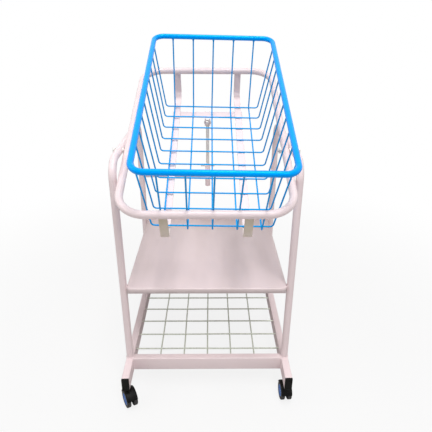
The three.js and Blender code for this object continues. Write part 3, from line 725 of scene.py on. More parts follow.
@once
def galvanised_wire():
    """Hot-dipped wire: grey zinc with crystal patches, and dull bloom where it has weathered."""
    material, tree, shader, place, base = new_finish("galvanised_wire", "net")
    crystals = add(tree, "ShaderNodeTexVoronoi", {"Vector": place, "Scale": per_mm(5)})
    spangle = add(tree, "ShaderNodeMix",
                  {0: crystals, COLOUR_A: scaled(base, 0.72), COLOUR_B: scaled(base, 1.05)},
                  data_type="RGBA")
    bloom = add(tree, "ShaderNodeTexNoise",
                {"Vector": place, "Scale": per_mm(35), "Detail": 5.0})
    dull = add(tree, "ShaderNodeMapRange", [bloom, 0.5, 0.75, 0.0, 0.5])
    weathered = add(
        tree, "ShaderNodeMix",
        {0: dull, COLOUR_A: spangle.outputs[COLOUR_OUT], COLOUR_B: linear("#D2D4CC")},
        data_type="RGBA")
    feed(tree, shader, {
        "Base Color": weathered.outputs[COLOUR_OUT],
        "Metallic": 0.4,
        "Roughness": add(tree, "ShaderNodeMapRange", [bloom, 0.3, 0.75, 0.36, 0.62]),
        "Normal": add(tree, "ShaderNodeBump",
                      {"Height": crystals, "Strength": 0.15, "Distance": 0.2 * MM}),
    })
    return material


@once
def zinc_plated_steel():
    """Bright zinc plate on turned steel: a cool metal with a faint grain and dulled patches."""
    material, tree, shader, place, base = new_finish("zinc_plated_steel", "zinc")
    patches, film = mottled(tree, place, base, 12, 4.0, 0.8, 1.05)
    feed(tree, shader, {
        "Base Color": film,
        "Metallic": 0.45,
        "Roughness": add(tree, "ShaderNodeMapRange", [patches, 0, 1, 0.24, 0.46]),
        "Normal": pebbled(tree, place, 1.5, 0.06, 0.1),
    })
    return material


@once
def moulded_black_nylon():
    """Black nylon from a spark-eroded mould: fine pebbled skin, greyed a little by dust."""
    material, tree, shader, place, base = new_finish("moulded_black_nylon", "black")
    dust_and_shade, film = dusted(tree, place, base, "#3A3837", 22, 0.45, 0.14)
    feed(tree, shader, {
        "Base Color": film,
        "Specular IOR Level": 0.12,
        "Roughness": add(tree, "ShaderNodeMapRange", [dust_and_shade, 0, 1, 0.38, 0.6]),
        # Mould grain is about 0.2 mm; this is coarser so that it shows
        "Normal": pebbled(tree, place, 1.2, 0.2, detail=3.0),
    })
    return material


@once
def moulded_tread():
    """Castor wheel tread: dull dark rubbery plastic with floor dust rolled into it."""
    material, tree, shader, place, base = new_finish("moulded_tread", "tread")
    dust_and_shade, film = dusted(tree, place, base, "#57524F", 9, 0.4, 0.35)
    feed(tree, shader, {
        "Base Color": film,
        "Roughness": 0.62,
        "Normal": add(tree, "ShaderNodeBump",
                      {"Height": dust_and_shade, "Strength": 0.25, "Distance": 0.3 * MM}),
    })
    return material


@once
def moulded_blue_disc():
    """Pigmented polypropylene: a saturated blue with the soft gloss of a polished mould."""
    material, tree, shader, place, base = new_finish("moulded_blue_disc", "disc")
    flow, film = mottled(tree, place, base, 14, 3.0, 0.82, 1.1)
    feed(tree, shader, {
        "Base Color": film,
        "Roughness": 0.36,
        "Normal": add(tree, "ShaderNodeBump",
                      {"Height": flow, "Strength": 0.08, "Distance": 0.2 * MM}),
    })
    return material


@once
def pale_studio_floor():
    """Seamless pale vinyl: matt and even, so that only the object's soft shadow shows."""
    material, tree, shader, place, base = new_finish("pale_studio_floor", "ground")
    _, film = mottled(tree, place, base, 900, 2.0, 0.985, 1.0)
    feed(tree, shader, {"Base Color": film, "Roughness": 0.8, "Specular IOR Level": 0.1})
    # The camera sees the floor partly as plain white; the light it throws back is not changed
    rays = add(tree, "ShaderNodeLightPath")
    away = add(tree, "ShaderNodeVectorMath", [place], operation="LENGTH").outputs["Value"]
    fade = add(tree, "ShaderNodeMapRange", [away, *FLOOR_FADE, FLOOR_GLOW, 1.0],
               interpolation_type="SMOOTHSTEP")
    share = add(tree, "ShaderNodeMath", [rays.outputs["Is Camera Ray"], fade],
                operation="MULTIPLY")
    white = add(tree, "ShaderNodeEmission", {"Color": WHITE})
    seen = add(tree, "ShaderNodeMixShader", [share, shader, white])
    feed(tree, tree.nodes["Material Output"], {"Surface": seen})
    return material


def painted(name, bm, body, nodes=(), sharp=CREASE):
    piece(name, bm, pale_powder_coat(), body, nodes, sharp)


def plated(name, bm, body, node, sharp=SCREW_CREASE):
    piece(name, bm, zinc_plated_steel(), body, [node], sharp)


# Stand


def make_side_frame(side):
    """One tube bent to an upside-down U: front post, top tube, rear post."""
    name = f"side_frame_{side}"
    low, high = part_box(name)
    radius = sizes().frame_tube / 2
    corners = upright_u(
        (low.x + high.x) / 2, low.y + radius, high.y - radius, low.z, high.z - radius)
    bm = bmesh.new()
    start = open_circle(bm, radius, corners[0], Z_AXIS, TUBE_SIDES)
    fill(bm, start)
    fill(bm, follow(bm, start, corners, sizes().frame_bend, FRAME_STEPS))
    painted(f"{name}_tube", bm, "stand", [name])


def make_box_tube(name, axis):
    """A box-section rail or bar with rounded corners along its length."""
    bm = bmesh.new()
    block(bm, *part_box(name))
    along = [edge for edge in bm.edges if abs((edge.verts[0].co - edge.verts[1].co)[axis]) > MM]
    bevel(bm, along, sizes().rail_corner, 4)
    painted(f"{name}_tube", bm, "stand", [name])


def make_end_cap(place):
    """A push-in cap: rounded head with a dished face, and a plug inside the rail."""
    end, side = place.split("_")
    name = f"rail_end_cap_{place}"
    low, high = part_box(name)
    rail_low, rail_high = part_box(f"base_rail_{side}")
    if end == "front":
        outward, head, plug = -1, (low.y, rail_low.y), (rail_low.y, high.y)
    else:
        outward, head, plug = 1, (rail_high.y, high.y), (low.y, rail_high.y)
    bm = bmesh.new()
    block(bm, Vector((low.x, head[0], low.z)), Vector((high.x, head[1], high.z)))
    soften(bm, CAP_EDGE, 4)
    face = max(bm.faces, key=lambda item: item.calc_center_median().y * outward)
    bmesh.ops.inset_region(bm, faces=[face], thickness=CAP_BORDER, depth=0)
    bmesh.ops.inset_region(bm, faces=[face], thickness=CAP_STEP, depth=-CAP_DISH)
    block(bm, Vector((rail_low.x + RAIL_WALL, plug[0], rail_low.z + RAIL_WALL)),
          Vector((rail_high.x - RAIL_WALL, plug[1], rail_high.z - RAIL_WALL)))
    piece(f"{name}_moulding", bm, moulded_black_nylon(), "stand", [name])


def make_solid_shelf():
    """One uneven thin sheet with its front and sides folded down and its rear folded up."""
    low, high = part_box("solid_shelf")
    size = sizes()
    half_sheet = size.shelf_sheet / 2
    fold = size.shelf_fold
    inset = half_sheet + fold
    level = low.z + size.shelf_lip - half_sheet
    flat_low = Vector((inset - high.x, low.y + inset, level))
    flat_high = Vector((high.x - inset, high.y - inset, level))
    middle = (flat_low + flat_high) / 2
    half = (flat_high - flat_low) / 2
    bm = bmesh.new()
    bmesh.ops.create_grid(
        bm, x_segments=SHELF_CELLS, y_segments=SHELF_CELLS, size=1,
        matrix=Matrix.LocRotScale(middle, None, Vector((half.x, half.y, 1))))
    for vertex in bm.verts:
        inside_x = 1 - abs(vertex.co.x - middle.x) / half.x
        inside_y = 1 - abs(vertex.co.y - middle.y) / half.y
        calm = min(1, min(inside_x, inside_y) / SHELF_CALM)
        vertex.co.z += size.shelf_wave * calm * noise.noise(vertex.co / SHELF_WAVE_SIZE)
    # Each fold: which points, its axis, where its centre lies, and how far the lip runs on
    drop = inset - size.shelf_lip
    rise = high.z - level - fold
    below = level - fold
    folds = (
        (lambda point: point.y < flat_low.y + MM, X_AXIS, Vector((0, flat_low.y, below)), drop),
        (lambda point: point.y > flat_high.y - MM, X_AXIS,
         Vector((0, flat_high.y, level + fold)), rise),
        (lambda point: point.x < flat_low.x + MM, -Y_AXIS, Vector((flat_low.x, 0, below)), drop),
        (lambda point: point.x > flat_high.x - MM, Y_AXIS, Vector((flat_high.x, 0, below)), drop),
    )
    borders = [edge for edge in bm.edges if edge.is_boundary]
    for on_side, axis, centre, run in folds:
        edges = [edge for edge in borders if all(on_side(vertex.co) for vertex in edge.verts)]
        edges = turn_round(bm, edges, centre, axis, QUARTER, FOLD_STEPS)
        pull(bm, edges, Z_AXIS * run)
    made = piece("solid_shelf_sheet", bm, smudged_powder_coat(), "stand",
                 ["solid_shelf"])
    wall = made.modifiers.new("sheet", "SOLIDIFY")
    wall.thickness = size.shelf_sheet
    wall.offset = 0
    wall.use_even_offset = True


def wandering_wire(bm, start, end, seed):
    """A straight-drawn net wire that wanders a little between its welded ends."""
    line = end - start
    along = line.normalized()
    edges = open_circle(bm, sizes().net_wire / 2, start, along, WIRE_SIDES)
    fill(bm, edges)
    verts = ends_of(edges)
    for _ in range(NET_STEPS):
        edges = pull(bm, edges, line / NET_STEPS)
        verts += ends_of(edges)
    fill(bm, edges)
    for vertex in verts:
        share = (vertex.co - start).dot(line) / line.length_squared
        hold = 4 * share * (1 - share)
        wander = noise.noise_vector(Vector((seed, share * 3, 0)))
        vertex.co += (wander - along * wander.dot(along)) * sizes().net_wave * hold


def make_wire_shelf():
    """The welded net: five wires front to rear, six across on top of them."""
    noise.seed_set(NET_SEED)
    low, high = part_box("wire_shelf")
    size = sizes()
    radius = size.net_wire / 2
    bm = bmesh.new()
    for i in range(-2, 3):
        x, z = i * size.net_pitch_long, low.z + radius
        ends = Vector((x, low.y - NET_SUNK, z)), Vector((x, high.y + NET_SUNK, z))
        wandering_wire(bm, *ends, i)
    first = middle_of("base_cross_bar_front").y + size.net_first
    for i in range(6):
        y, z = first + i * size.net_pitch_cross, high.z - radius
        ends = Vector((low.x - NET_SUNK, y, z)), Vector((high.x + NET_SUNK, y, z))
        wandering_wire(bm, *ends, i + 10)
    piece("wire_shelf_net", bm, galvanised_wire(), "stand", ["wire_shelf"])


def make_rear_cross_tube():
    """The tube between the rear posts; its ends run into them."""
    low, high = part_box("rear_cross_tube")
    start = Vector((low.x, (low.y + high.y) / 2, (low.z + high.z) / 2))
    bm = bmesh.new()
    edges = open_circle(bm, sizes().frame_tube / 2, start, X_AXIS, TUBE_SIDES)
    fill(bm, edges)
    fill(bm, pull(bm, edges, X_AXIS * (high.x - low.x)))
    painted("rear_cross_tube_round", bm, "stand", ["rear_cross_tube"])


# Stay


def make_stay_tube():
    """The upright guide with its threaded boss."""
    low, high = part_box("stay_tube")
    radius = (high.x - low.x) / 2
    foot = Vector((0, low.y + radius, low.z))
    bm = bmesh.new()
    guide = sleeve(0, high.z - low.z, BORE_SHARE * radius, radius)
    turned(bm, guide, foot, Z_AXIS, SLEEVE_SIDES)
    soften(bm, STAY_EDGE)
    boss = sleeve(BOSS_START * radius, high.y - foot.y, SCREW_RADIUS + BORE_PLAY, BOSS_RADIUS)
    centre = Vector((0, foot.y, JOINTS["lock_turn"]["pos_m"][2]))
    turned(bm, boss, centre, Y_AXIS, SLEEVE_SIDES)
    boss_face = high.y - 0.1 * MM
    soften(bm, STAY_EDGE, test=lambda edge: min(end.co.y for end in edge.verts) > boss_face)
    painted("stay_tube_guide", bm, "stand", ["stay_tube"])


def make_stay_rod():
    """The sliding rod with its eye, and the headed pin through it."""
    low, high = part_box("stay_rod")
    pin_low, pin_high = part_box("stay_pin")
    pin = (pin_low + pin_high) / 2
    y = (low.y + high.y) / 2
    eye = (high.y - low.y) / 2
    half = (high.x - low.x) / 2
    height = pin.z - eye * EYE_OVERLAP - low.z
    bm = bmesh.new()
    rod = [(0, 0), (0, ROD_RADIUS - ROD_EDGE), (ROD_EDGE, ROD_RADIUS), (height, ROD_RADIUS),
           (height, 0)]
    turned(bm, rod, Vector((0, y, low.z)), Z_AXIS)
    bore = PIN_RADIUS + BORE_PLAY
    ring = both_ends(half, [(0, bore), (0, eye - ROD_EDGE), (ROD_EDGE, eye)]) + [(-half, bore)]
    turned(bm, ring, Vector((0, y, pin.z)), X_AXIS, SLEEVE_SIDES)
    plated("stay_rod_eye", bm, "stay", "stay_rod")
    reach = (pin_high.x - pin_low.x) / 2
    head = (pin_high.z - pin_low.z) / 2
    end = [(0, 0), (0, head * 0.6), (0.35 * PIN_HEAD, head * 0.9), (0.6 * PIN_HEAD, head),
           (PIN_HEAD, head), (PIN_HEAD, PIN_RADIUS)]
    bm = bmesh.new()
    turned(bm, both_ends(reach, end), pin, X_AXIS)
    plated("stay_pin_headed", bm, "stay", "stay_pin")


def make_lock_screw():
    """The screw that clamps the stay rod, with a T-bar for the hand."""
    low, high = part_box("stay_lock_screw")
    z = JOINTS["lock_turn"]["pos_m"][2]
    bar = BAR_RADIUS
    reach = high.y - low.y - bar
    screw = SCREW_RADIUS
    profile = [(0, 0), (0, 0.6 * screw), *thread(1 * MM, reach * 0.66, screw),
               (reach * 0.7, screw), (reach + bar * 0.4, screw), (reach + bar, screw * 0.7),
               (reach + bar, 0)]
    knob = [(0, 0), (0.2 * bar, 0.62 * bar), (0.6 * bar, 0.95 * bar), (1.2 * bar, bar),
            (1.8 * bar, 0.82 * bar)]
    bm = bmesh.new()
    turned(bm, profile, Vector((0, low.y, z)), Y_AXIS)
    turned(bm, both_ends((high.x - low.x) / 2, knob), Vector((0, high.y - bar, z)), X_AXIS)
    plated("stay_lock_screw_t_bar", bm, "lock_screw", "stay_lock_screw")


# Pivot fasteners


def make_pivot(side, outward):
    """A hexagon bolt through top tube and ring, its spacer between them and its nut inside."""
    bolt, nut, spacer = [f"pivot_{name}_{side}" for name in ("bolt", "nut", "spacer")]
    along = X_AXIS * outward
    low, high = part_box(bolt)
    inner, outer = (low.x, high.x) if outward > 0 else (high.x, low.x)
    across = high.y - low.y
    centre = Vector((0, PIVOT.y, PIVOT.z))
    radius = BOLT_RADIUS
    bm = bmesh.new()
    head = centre + X_AXIS * outer - along * BOLT_HEAD_HEIGHT
    hexagon(bm, across, BOLT_HEAD_HEIGHT, head, along)
    shank = high.x - low.x - BOLT_HEAD_HEIGHT + 1 * MM
    profile = [(0, 0), (0, radius * 0.75), *thread(0.8 * MM, BOLT_THREAD, radius),
               (BOLT_THREAD + 1 * MM, radius), (shank, radius), (shank, 0)]
    turned(bm, profile, centre + X_AXIS * inner, along)
    plated(f"{bolt}_hexagon", bm, "stand", bolt, HEXAGON_CREASE)
    low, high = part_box(nut)
    bm = bmesh.new()
    bore = 2 * radius + NUT_PLAY
    hexagon(bm, across, high.x - low.x, centre + X_AXIS * low.x, X_AXIS, bore)
    plated(f"{nut}_hexagon", bm, "stand", nut, HEXAGON_CREASE)
    low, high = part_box(spacer)
    bm = bmesh.new()
    washer = sleeve(0, high.x - low.x, radius, (high.z - low.z) / 2)
    turned(bm, washer, centre + X_AXIS * low.x, X_AXIS, SLEEVE_SIDES)
    soften(bm, SPACER_EDGE)
    plated(f"{spacer}_washer", bm, "stand", spacer, CREASE)


# Cradle, modelled in its own frame and then placed


def make_cradle_ring():
    low, high = box_in("cradle_ring", CRADLE)
    radius = sizes().ring_tube / 2
    corners = level_loop(
        high.x - radius, low.y + radius, high.y - radius, (low.z + high.z) / 2)
    bm = bmesh.new()
    loop_tube(bm, radius, corners, sizes().ring_bend, TUBE_SIDES, RING_STEPS)
    set_in(bm, CRADLE)
    painted("cradle_ring_tube", bm, "cradle", ["cradle_ring"])


def make_cradle_strap(side):
    """A flat bar bent to a U, its ends welded to the ring's underside."""
    name = f"cradle_strap_{side}"
    low, high = box_in(name, CRADLE)
    half = sizes().strap_thickness / 2
    corners = upright_u((low.x + high.x) / 2, low.y + half, high.y - half, high.z + STRAP_SUNK,
                        low.z + half)
    section = ((low.x, -half), (high.x, -half), (high.x, half), (low.x, half))
    bm = bmesh.new()
    start = corners[0]
    edges = closed_line(bm, [(across, start.y + out, start.z) for across, out in section])
    fill(bm, edges)
    fill(bm, follow(bm, edges, corners, sizes().strap_bend, STRAP_STEPS))
    soften(bm, STRAP_EDGE, 3)
    set_in(bm, CRADLE)
    piece(f"{name}_flat_bar", bm, handled_powder_coat(), "cradle", [name])


def make_under_bar():
    """The flat bar under both straps, and its two slotted ears that carry the stay's pin."""
    low, high = box_in("cradle_under_bar", CRADLE)
    size = sizes()
    pin = middle_of("stay_pin", CRADLE)
    half = size.bar_width / 2
    middle = (low.y + high.y) / 2
    underside = high.z - size.bar_thickness
    bm = bmesh.new()
    block(bm, Vector((low.x, middle - half, underside)), Vector((high.x, middle + half, high.z)))
    round_end = pin.y - low.y
    travel = high.y - round_end - pin.y
    for inner in (size.ear_gap / 2, -size.ear_gap / 2 - size.ear_thickness):
        place = Vector((inner, pin.y, pin.z))
        slot = open_circle(bm, size.slot_width / 2, place, X_AXIS, EAR_SIDES)
        outline = open_circle(bm, round_end, place, X_AXIS, EAR_SIDES)
        for loop in (slot, outline):
            upper = [vertex for vertex in ends_of(loop) if vertex.co.y > pin.y]
            bmesh.ops.translate(bm, vec=(0, travel, 0), verts=upper)
        for vertex in ends_of(outline):
            if vertex.co.z > pin.z:
                vertex.co.z = underside
        ear = bmesh.ops.bridge_loops(bm, edges=slot + outline)["faces"]
        made = bmesh.ops.extrude_face_region(bm, geom=ear, use_keep_orig=True)["geom"]
        verts = of_kind(made, bmesh.types.BMVert)
        bmesh.ops.translate(bm, vec=(size.ear_thickness, 0, 0), verts=verts)
    soften(bm, EAR_EDGE, least=EAR_CREASE)
    set_in(bm, CRADLE)
    painted("cradle_under_bar_ears", bm, "cradle", ["cradle_under_bar"])


# Basket, modelled in its own frame and then placed


def make_basket_rim():
    low, high = box_in("basket_rim", BASKET)
    radius = sizes().rim_tube / 2
    middle = (low + high) / 2
    corners = level_loop(
        (high.x - low.x) / 2 - radius, low.y + radius, high.y - radius, middle.z, middle.x)
    bm = bmesh.new()
    loop_tube(bm, radius - RIM_INSET, corners, sizes().rim_bend, RIM_SIDES, RIM_STEPS)
    set_in(bm, BASKET)
    coat = blue_powder_coat("rim", RIM_SHINE)
    piece("basket_rim_bar", bm, coat, "basket", ["basket_rim"])


def flare(bm, edges, along):
    """Widens a wire's end to the fillet of weld and paint that joins it to the rim."""
    for rise, wider in FLARE:
        edges = pull(bm, edges, along * rise, wider)
    fill(bm, edges)


def make_basket_wire(name, floor_ends, rim_ends):
    """A wire bent up at both ends, each end flared by its weld under the rim."""
    pairs = list(zip(floor_ends, rim_ends))
    ups = [(rim_end - floor_end).normalized() for floor_end, rim_end in pairs]
    below = sizes().rim_tube / 2 + FLARE_BELOW
    tips = [rim_end - up * below for rim_end, up in zip(rim_ends, ups)]
    bm = bmesh.new()
    start = open_circle(bm, sizes().basket_wire / 2, tips[0], -ups[0], WIRE_SIDES)
    flare(bm, start, ups[0])
    end = follow(bm, start, [tips[0], *floor_ends, tips[1]], sizes().wire_bend, WIRE_STEPS)
    flare(bm, end, ups[1])
    set_in(bm, BASKET)
    coat = blue_powder_coat("wire", WIRE_SHINE)
    piece(f"{name}_round", bm, coat, "basket", [name])


def make_basket_wires():
    """Ten wires across and five along, each from rim to rim by way of the floor."""
    low, high = box_in("basket_rim", BASKET)
    rim = (low + high) / 2
    size = sizes()
    half_rim = (high - low) / 2 - Vector((1, 1, 1)) * size.rim_tube / 2
    half_floor = Vector((size.floor_width / 2, size.floor_length / 2, 0))
    # Each set of wires: its names, and the direction its wires run in
    cross = ([f"basket_cross_wire_{i:02d}" for i in range(1, 11)], X_AXIS)
    long = ([f"basket_long_wire_{i}" for i in range(1, 6)], Y_AXIS)
    for names, run in (cross, long):
        for name in names:
            centre = middle_of(name, BASKET)
            centre += run * (rim - centre).dot(run)
            centre.z = box_in(name, BASKET)[0].z + SIX_SIDED * size.basket_wire / 2
            top = Vector((centre.x, centre.y, rim.z))
            floor_ends = [centre + run * end * half_floor.dot(run) for end in (-1, 1)]
            rim_ends = [top + run * end * half_rim.dot(run) for end in (-1, 1)]
            make_basket_wire(name, floor_ends, rim_ends)


# Castors, modelled in their own frames and then placed


def make_castor(place):
    """Hood with its web, neck and stem, two wheels and their discs."""
    castor = castor_frame(place)
    axle = castor.inverted() @ Vector(JOINTS[f"spin_{place}_left"]["pos_m"])
    hood_top = box_in(f"castor_hood_{place}", castor)[1]
    wheel_low, wheel_high = box_in(f"castor_wheel_{place}_right", castor)
    half = hood_top.x
    inner = wheel_high.z - axle.z + HOOD_ROOM
    outer = inner + HOOD_WALL
    edge = inner + HOOD_EDGE
    cover = [(0, inner), (0, edge), (0.3 * HOOD_SHOULDER, outer - 0.5 * HOOD_EDGE),
             (HOOD_SHOULDER, outer)]
    web = wheel_low.x - WEB_ROOM
    wall = both_ends(web, [(0, HUB_RADIUS * 0.6), (0, edge)])
    bm = bmesh.new()
    for outline in (both_ends(half, cover), wall):
        closed_sector(bm, outline, axle, HOOD_START, HOOD_SWEEP, HOOD_STEPS)
    turned(bm, sleeve(-web, web, HUB_BORE, HUB_RADIUS), axle, X_AXIS, SLEEVE_SIDES)
    # The neck starts inside the hood's curved wall
    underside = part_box("base_rail_left")[0].z
    edges = open_circle(bm, NECK_RADIUS, Vector((0, 0, 0)), Z_AXIS, TUBE_SIDES)
    for vertex in ends_of(edges):
        height = (outer - 0.6 * HOOD_WALL) ** 2 - (vertex.co.y - axle.y) ** 2
        vertex.co.z = axle.z + math.sqrt(height)
    edges = pull(bm, edges, Vector((0, 0, 0)))
    for vertex in ends_of(edges):
        vertex.co.z = underside - COLLAR_DROP
    collar = NECK_RADIUS
    for rise, wider in COLLAR:
        edges = pull(bm, edges, Z_AXIS * rise, wider)
        collar *= wider
    edges = pull(bm, edges, Z_AXIS * 0.01 * MM, STEM_RADIUS / collar)
    fill(bm, pull(bm, edges, Z_AXIS * (hood_top.z - underside)))
    set_in(bm, castor)
    piece(f"castor_hood_{place}_moulding", bm, moulded_black_nylon(), f"castor_{place}",
          [f"castor_hood_{place}"], CASTOR_CREASE)
    for side, outward in SIDES:
        make_castor_wheel(place, side, outward, castor, axle)
    frame["nodes"][f"castor_axle_{place}"].material_slots[0].material = zinc_plated_steel()


def make_castor_wheel(place, side, outward, castor, axle):
    """A wheel with a rounded tread, and the ribbed disc set in its outer face."""
    name = f"castor_wheel_{place}_{side}"
    body = f"wheel_{place}_{side}"
    low, high = box_in(name, castor)
    along = X_AXIS * outward
    hub = Vector((0, axle.y, axle.z)) + along * min(abs(low.x), abs(high.x))
    radius = high.z - axle.z
    width = high.x - low.x
    disc = DISC_RADIUS
    floor = width - DISC_RECESS
    flare_depth, flare_width = RECESS_FLARE
    arc = [(TREAD_ROUND * (1 - math.cos(angle)), radius - TREAD_ROUND * (1 - math.sin(angle)))
           for angle in (0, 0.4, 0.8, 1.2, QUARTER)]
    profile = [(0, WHEEL_BORE), (0, radius * 0.8), *arc, (width / 2, radius),
               *[(width - depth, out) for depth, out in reversed(arc)],
               (width, disc + flare_width), (width - flare_depth, disc + DISC_ROOM), (floor, disc),
               (floor, WHEEL_BORE), (0, WHEEL_BORE)]
    bm = bmesh.new()
    turned(bm, profile, hub, along, WHEEL_SIDES)
    set_in(bm, castor)
    piece(f"{name}_tread", bm, moulded_tread(), body, [name], CASTOR_CREASE)
    seat = floor + DISC_LIFT
    edge = disc - DISC_ROOM
    border = [(seat + height, edge + out) for height, out in DISC_BORDER]
    boss = [(seat + height, out) for height, out in DISC_BOSS]
    bm = bmesh.new()
    turned(bm, [(seat, 0), *border, *boss], hub, along, DISC_SIDES)
    near, far = sorted(outward * (seat + rise) for rise in SPOKE_RISE)
    for i in range(SPOKES):
        turn = Matrix.Rotation(i * FULL_TURN / SPOKES, 4, "X")
        verts = block(bm, Vector((near, SPOKE_START, -SPOKE_HALF)),
                      Vector((far, edge - SPOKE_END, SPOKE_HALF)))
        bmesh.ops.transform(bm, matrix=Matrix.Translation(hub) @ turn, verts=verts)
    set_in(bm, castor)
    piece(f"castor_disc_{place}_{side}", bm, moulded_blue_disc(), body, (),
          CASTOR_CREASE)


# Welds


def make_stand_welds():
    """Beads at the posts' feet, the shelf, the cross bars, the rear tube and the stay tube."""
    bead = sizes().weld
    tube = sizes().frame_tube / 2
    shelf_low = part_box("solid_shelf")[0].z
    shelf_top = shelf_low + sizes().shelf_lip
    bm = bmesh.new()
    for side, outward in SIDES:
        low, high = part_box(f"side_frame_{side}")
        x = (low.x + high.x) / 2
        lip = x - outward * (tube - LIP_WELD_SUNK)
        for y in (low.y + tube, high.y - tube):
            bead_round(bm, Vector((x, y, low.z)), Z_AXIS, tube, bead)
            for off in (y - LIP_WELD_OFF, y + LIP_WELD_OFF):
                bead_along(bm, Vector((lip, off, shelf_low + MM)), Vector((lip, off, shelf_top)),
                           LIP_WELD_SHARE * bead)
    for end in ENDS:
        low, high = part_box(f"base_cross_bar_{end}")
        foot, inset = low.z + BAR_WELD_FOOT, BAR_WELD_INSET
        for x in (low.x, high.x):
            for y in (low.y, high.y):
                bead_along(bm, Vector((x, y, foot)), Vector((x, y, high.z - inset)), bead)
            ends = [Vector((x, y, high.z)) for y in (low.y + inset, high.y - inset)]
            bead_along(bm, *ends, bead)
    middle = middle_of("rear_cross_tube")
    post = abs(middle_of("side_frame_right").x) - tube + POST_WELD_SUNK
    for x in (-post, post):
        bead_round(bm, Vector((x, middle.y, middle.z)), X_AXIS, tube, bead)
    guide = middle - Y_AXIS * tube
    for x in (-GUIDE_WELD_OFF, GUIDE_WELD_OFF):
        ends = [guide + Vector((x, 0, off)) for off in (-GUIDE_WELD_HALF, GUIDE_WELD_HALF)]
        bead_along(bm, *ends, bead)
    ripple(bm)
    painted("stand_weld_beads", bm, "stand", sharp=BEAD_CREASE)


def make_cradle_welds():
    """Beads where the straps meet the ring and the under bar."""
    bead = sizes().weld
    thick = sizes().strap_thickness
    level = box_in("cradle_ring", CRADLE)[0].z + RING_WELD_SUNK
    bar_low, bar_high = box_in("cradle_under_bar", CRADLE)
    bar_middle = (bar_low.y + bar_high.y) / 2
    bar_run = sizes().bar_width / 2 - MM
    bm = bmesh.new()
    for side, _ in SIDES:
        low, high = box_in(f"cradle_strap_{side}", CRADLE)
        for y in (low.y, low.y + thick, high.y - thick, high.y):
            bead_along(bm, Vector((low.x + MM, y, level)), Vector((high.x - MM, y, level)), bead)
        for x in (low.x, high.x):
            ends = [Vector((x, bar_middle + run, bar_high.z)) for run in (-bar_run, bar_run)]
            bead_along(bm, *ends, bead)
    ripple(bm)
    set_in(bm, CRADLE)
    painted("cradle_weld_beads", bm, "cradle", sharp=BEAD_CREASE)


# Stage


def make_floor():
    bm = bmesh.new()
    bmesh.ops.create_circle(
        bm, cap_ends=True, cap_tris=False, radius=FLOOR_RADIUS, segments=FLOOR_SIDES)
    mesh = bpy.data.meshes.new("studio_floor")
    bm.to_mesh(mesh)
    bm.free()
    mesh.materials.append(pale_studio_floor())
    floor = bpy.data.objects.new("studio_floor", mesh)
    bpy.context.scene.collection.objects.link(floor)


def make_lamp(name, place, target, width, power):
    lamp = bpy.data.lights.new(name, "AREA")
    lamp.shape = "DISK"
    lamp.size = width
    lamp.energy = power
    made = bpy.data.objects.new(name, lamp)
    made.location = place
    aim = Vector(target) - Vector(place)
    made.rotation_euler = aim.to_track_quat("-Z", "Y").to_euler()
    bpy.context.scene.collection.objects.link(made)


def make_world():
    """White for the camera and in reflections, softer for the light that falls on the object."""
    world = bpy.data.worlds.new("studio_world")
    bpy.context.scene.world = world
    world.use_nodes = True
    tree = world.node_tree
    tree.nodes.clear()
    rays = add(tree, "ShaderNodeLightPath")
    seen = rays.outputs["Is Camera Ray"]
    for ray in ("Is Glossy Ray", "Is Transmission Ray"):
        seen = add(tree, "ShaderNodeMath", [seen, rays.outputs[ray]], operation="MAXIMUM")
    soft = add(tree, "ShaderNodeBackground", {"Color": WHITE, "Strength": WORLD_LIGHT})
    white = add(tree, "ShaderNodeBackground", {"Color": WHITE})
    both = add(tree, "ShaderNodeMixShader", [seen, soft, white])
    add(tree, "ShaderNodeOutputWorld", {"Surface": both})


def make_camera():
    """The photograph's view: slightly above the rim, looking down along the basket."""
    data = bpy.data.cameras.new("photo_camera")
    data.sensor_width = 36
    data.lens = data.sensor_width * CAMERA_FOCUS / PHOTO_SIDE
    camera = bpy.data.objects.new("photo_camera", data)
    turn = Matrix.Rotation(-CAMERA_YAW, 4, "Z") @ Matrix.Rotation(QUARTER - CAMERA_PITCH, 4, "X")
    roll = Matrix.Rotation(CAMERA_ROLL, 4, "Z")
    camera.matrix_world = Matrix.Translation(CAMERA_PLACE) @ turn @ roll
    bpy.context.scene.collection.objects.link(camera)
    bpy.context.scene.camera = camera


# Operators


class BASSINET_OT_stand(bpy.types.Operator):
    """Model the side frames, base rails, cross bars, rear tube and end caps"""

    bl_idname = "bassinet.stand"
    bl_label = "Stand"

    def execute(self, context):
        for side, _ in SIDES:
            make_side_frame(side)
            make_box_tube(f"base_rail_{side}", 1)
        for end in ENDS:
            make_box_tube(f"base_cross_bar_{end}", 0)
        for place in PLACES:
            make_end_cap(place)
        make_rear_cross_tube()
        make_stand_welds()
        return {"FINISHED"}


class BASSINET_OT_shelves(bpy.types.Operator):
    """Model the folded sheet shelf and the welded wire shelf"""

    bl_idname = "bassinet.shelves"
    bl_label = "Shelves"

    def execute(self, context):
        make_solid_shelf()
        make_wire_shelf()
        return {"FINISHED"}


class BASSINET_OT_stay(bpy.types.Operator):
    """Model the stay tube, its sliding rod and pin, and the lock screw"""

    bl_idname = "bassinet.stay"
    bl_label = "Stay"

    def execute(self, context):
        make_stay_tube()
        make_stay_rod()
        make_lock_screw()
        return {"FINISHED"}


class BASSINET_OT_pivots(bpy.types.Operator):
    """Model the bolts, nuts and spacers that the cradle turns on"""

    bl_idname = "bassinet.pivots"
    bl_label = "Pivots"

    def execute(self, context):
        for side, outward in SIDES:
            make_pivot(side, outward)
        return {"FINISHED"}


class BASSINET_OT_cradle(bpy.types.Operator):
    """Model the cradle's ring, straps and under bar"""

    bl_idname = "bassinet.cradle"
    bl_label = "Cradle"

    def execute(self, context):
        make_cradle_ring()
        for side, _ in SIDES:
            make_cradle_strap(side)
        make_under_bar()
        make_cradle_welds()
        return {"FINISHED"}


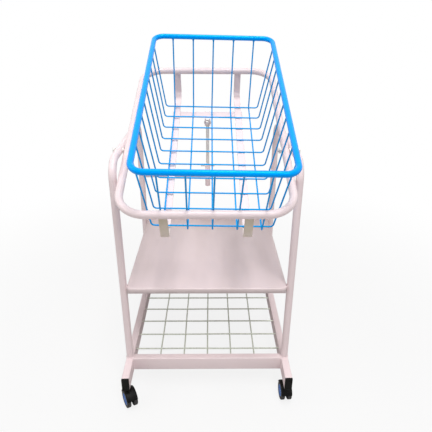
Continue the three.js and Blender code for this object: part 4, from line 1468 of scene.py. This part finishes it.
class BASSINET_OT_basket(bpy.types.Operator):
    """Model the basket's rim and wires"""

    bl_idname = "bassinet.basket"
    bl_label = "Basket"

    def execute(self, context):
        make_basket_rim()
        make_basket_wires()
        return {"FINISHED"}


class BASSINET_OT_castors(bpy.types.Operator):
    """Model the four twin-wheel castors"""

    bl_idname = "bassinet.castors"
    bl_label = "Castors"

    def execute(self, context):
        for place in PLACES:
            make_castor(place)
        return {"FINISHED"}


class BASSINET_OT_stage(bpy.types.Operator):
    """Set up the floor, the studio light and the camera"""

    bl_idname = "bassinet.stage"
    bl_label = "Stage"

    def execute(self, context):
        make_floor()
        make_world()
        for lamp in LAMPS:
            make_lamp(*lamp)
        make_camera()
        context.scene.view_settings.view_transform = "Standard"
        return {"FINISHED"}


OPERATORS = (
    BASSINET_OT_stage,
    BASSINET_OT_stand,
    BASSINET_OT_shelves,
    BASSINET_OT_stay,
    BASSINET_OT_pivots,
    BASSINET_OT_cradle,
    BASSINET_OT_basket,
    BASSINET_OT_castors,
)


class BASSINET_PT_sidebar(bpy.types.Panel):
    """Sizes, colours and steps of the bassinet"""

    bl_idname = "BASSINET_PT_sidebar"
    bl_label = "Bassinet"
    bl_space_type = "VIEW_3D"
    bl_region_type = "UI"
    bl_category = "Bassinet"

    def draw(self, context):
        for group in (context.scene.bassinet_sizes, context.scene.bassinet_colours):
            box = self.layout.box()
            for name in group.__annotations__:
                box.prop(group, name)
        for operator in OPERATORS:
            self.layout.operator(operator.bl_idname)


CLASSES = (BassinetSizes, BassinetColours, *OPERATORS, BASSINET_PT_sidebar)


def register():
    for item in CLASSES:
        bpy.utils.register_class(item)
    bpy.types.Scene.bassinet_sizes = PointerProperty(type=BassinetSizes)
    bpy.types.Scene.bassinet_colours = PointerProperty(type=BassinetColours)


def unregister():
    del bpy.types.Scene.bassinet_colours
    del bpy.types.Scene.bassinet_sizes
    for item in reversed(CLASSES):
        bpy.utils.unregister_class(item)


def main():
    register()
    bpy.ops.bassinet.stage()
    bpy.ops.bassinet.stand()
    bpy.ops.bassinet.shelves()
    bpy.ops.bassinet.stay()
    bpy.ops.bassinet.pivots()
    bpy.ops.bassinet.cradle()
    bpy.ops.bassinet.basket()
    bpy.ops.bassinet.castors()


if __name__ == "__main__":
    main()
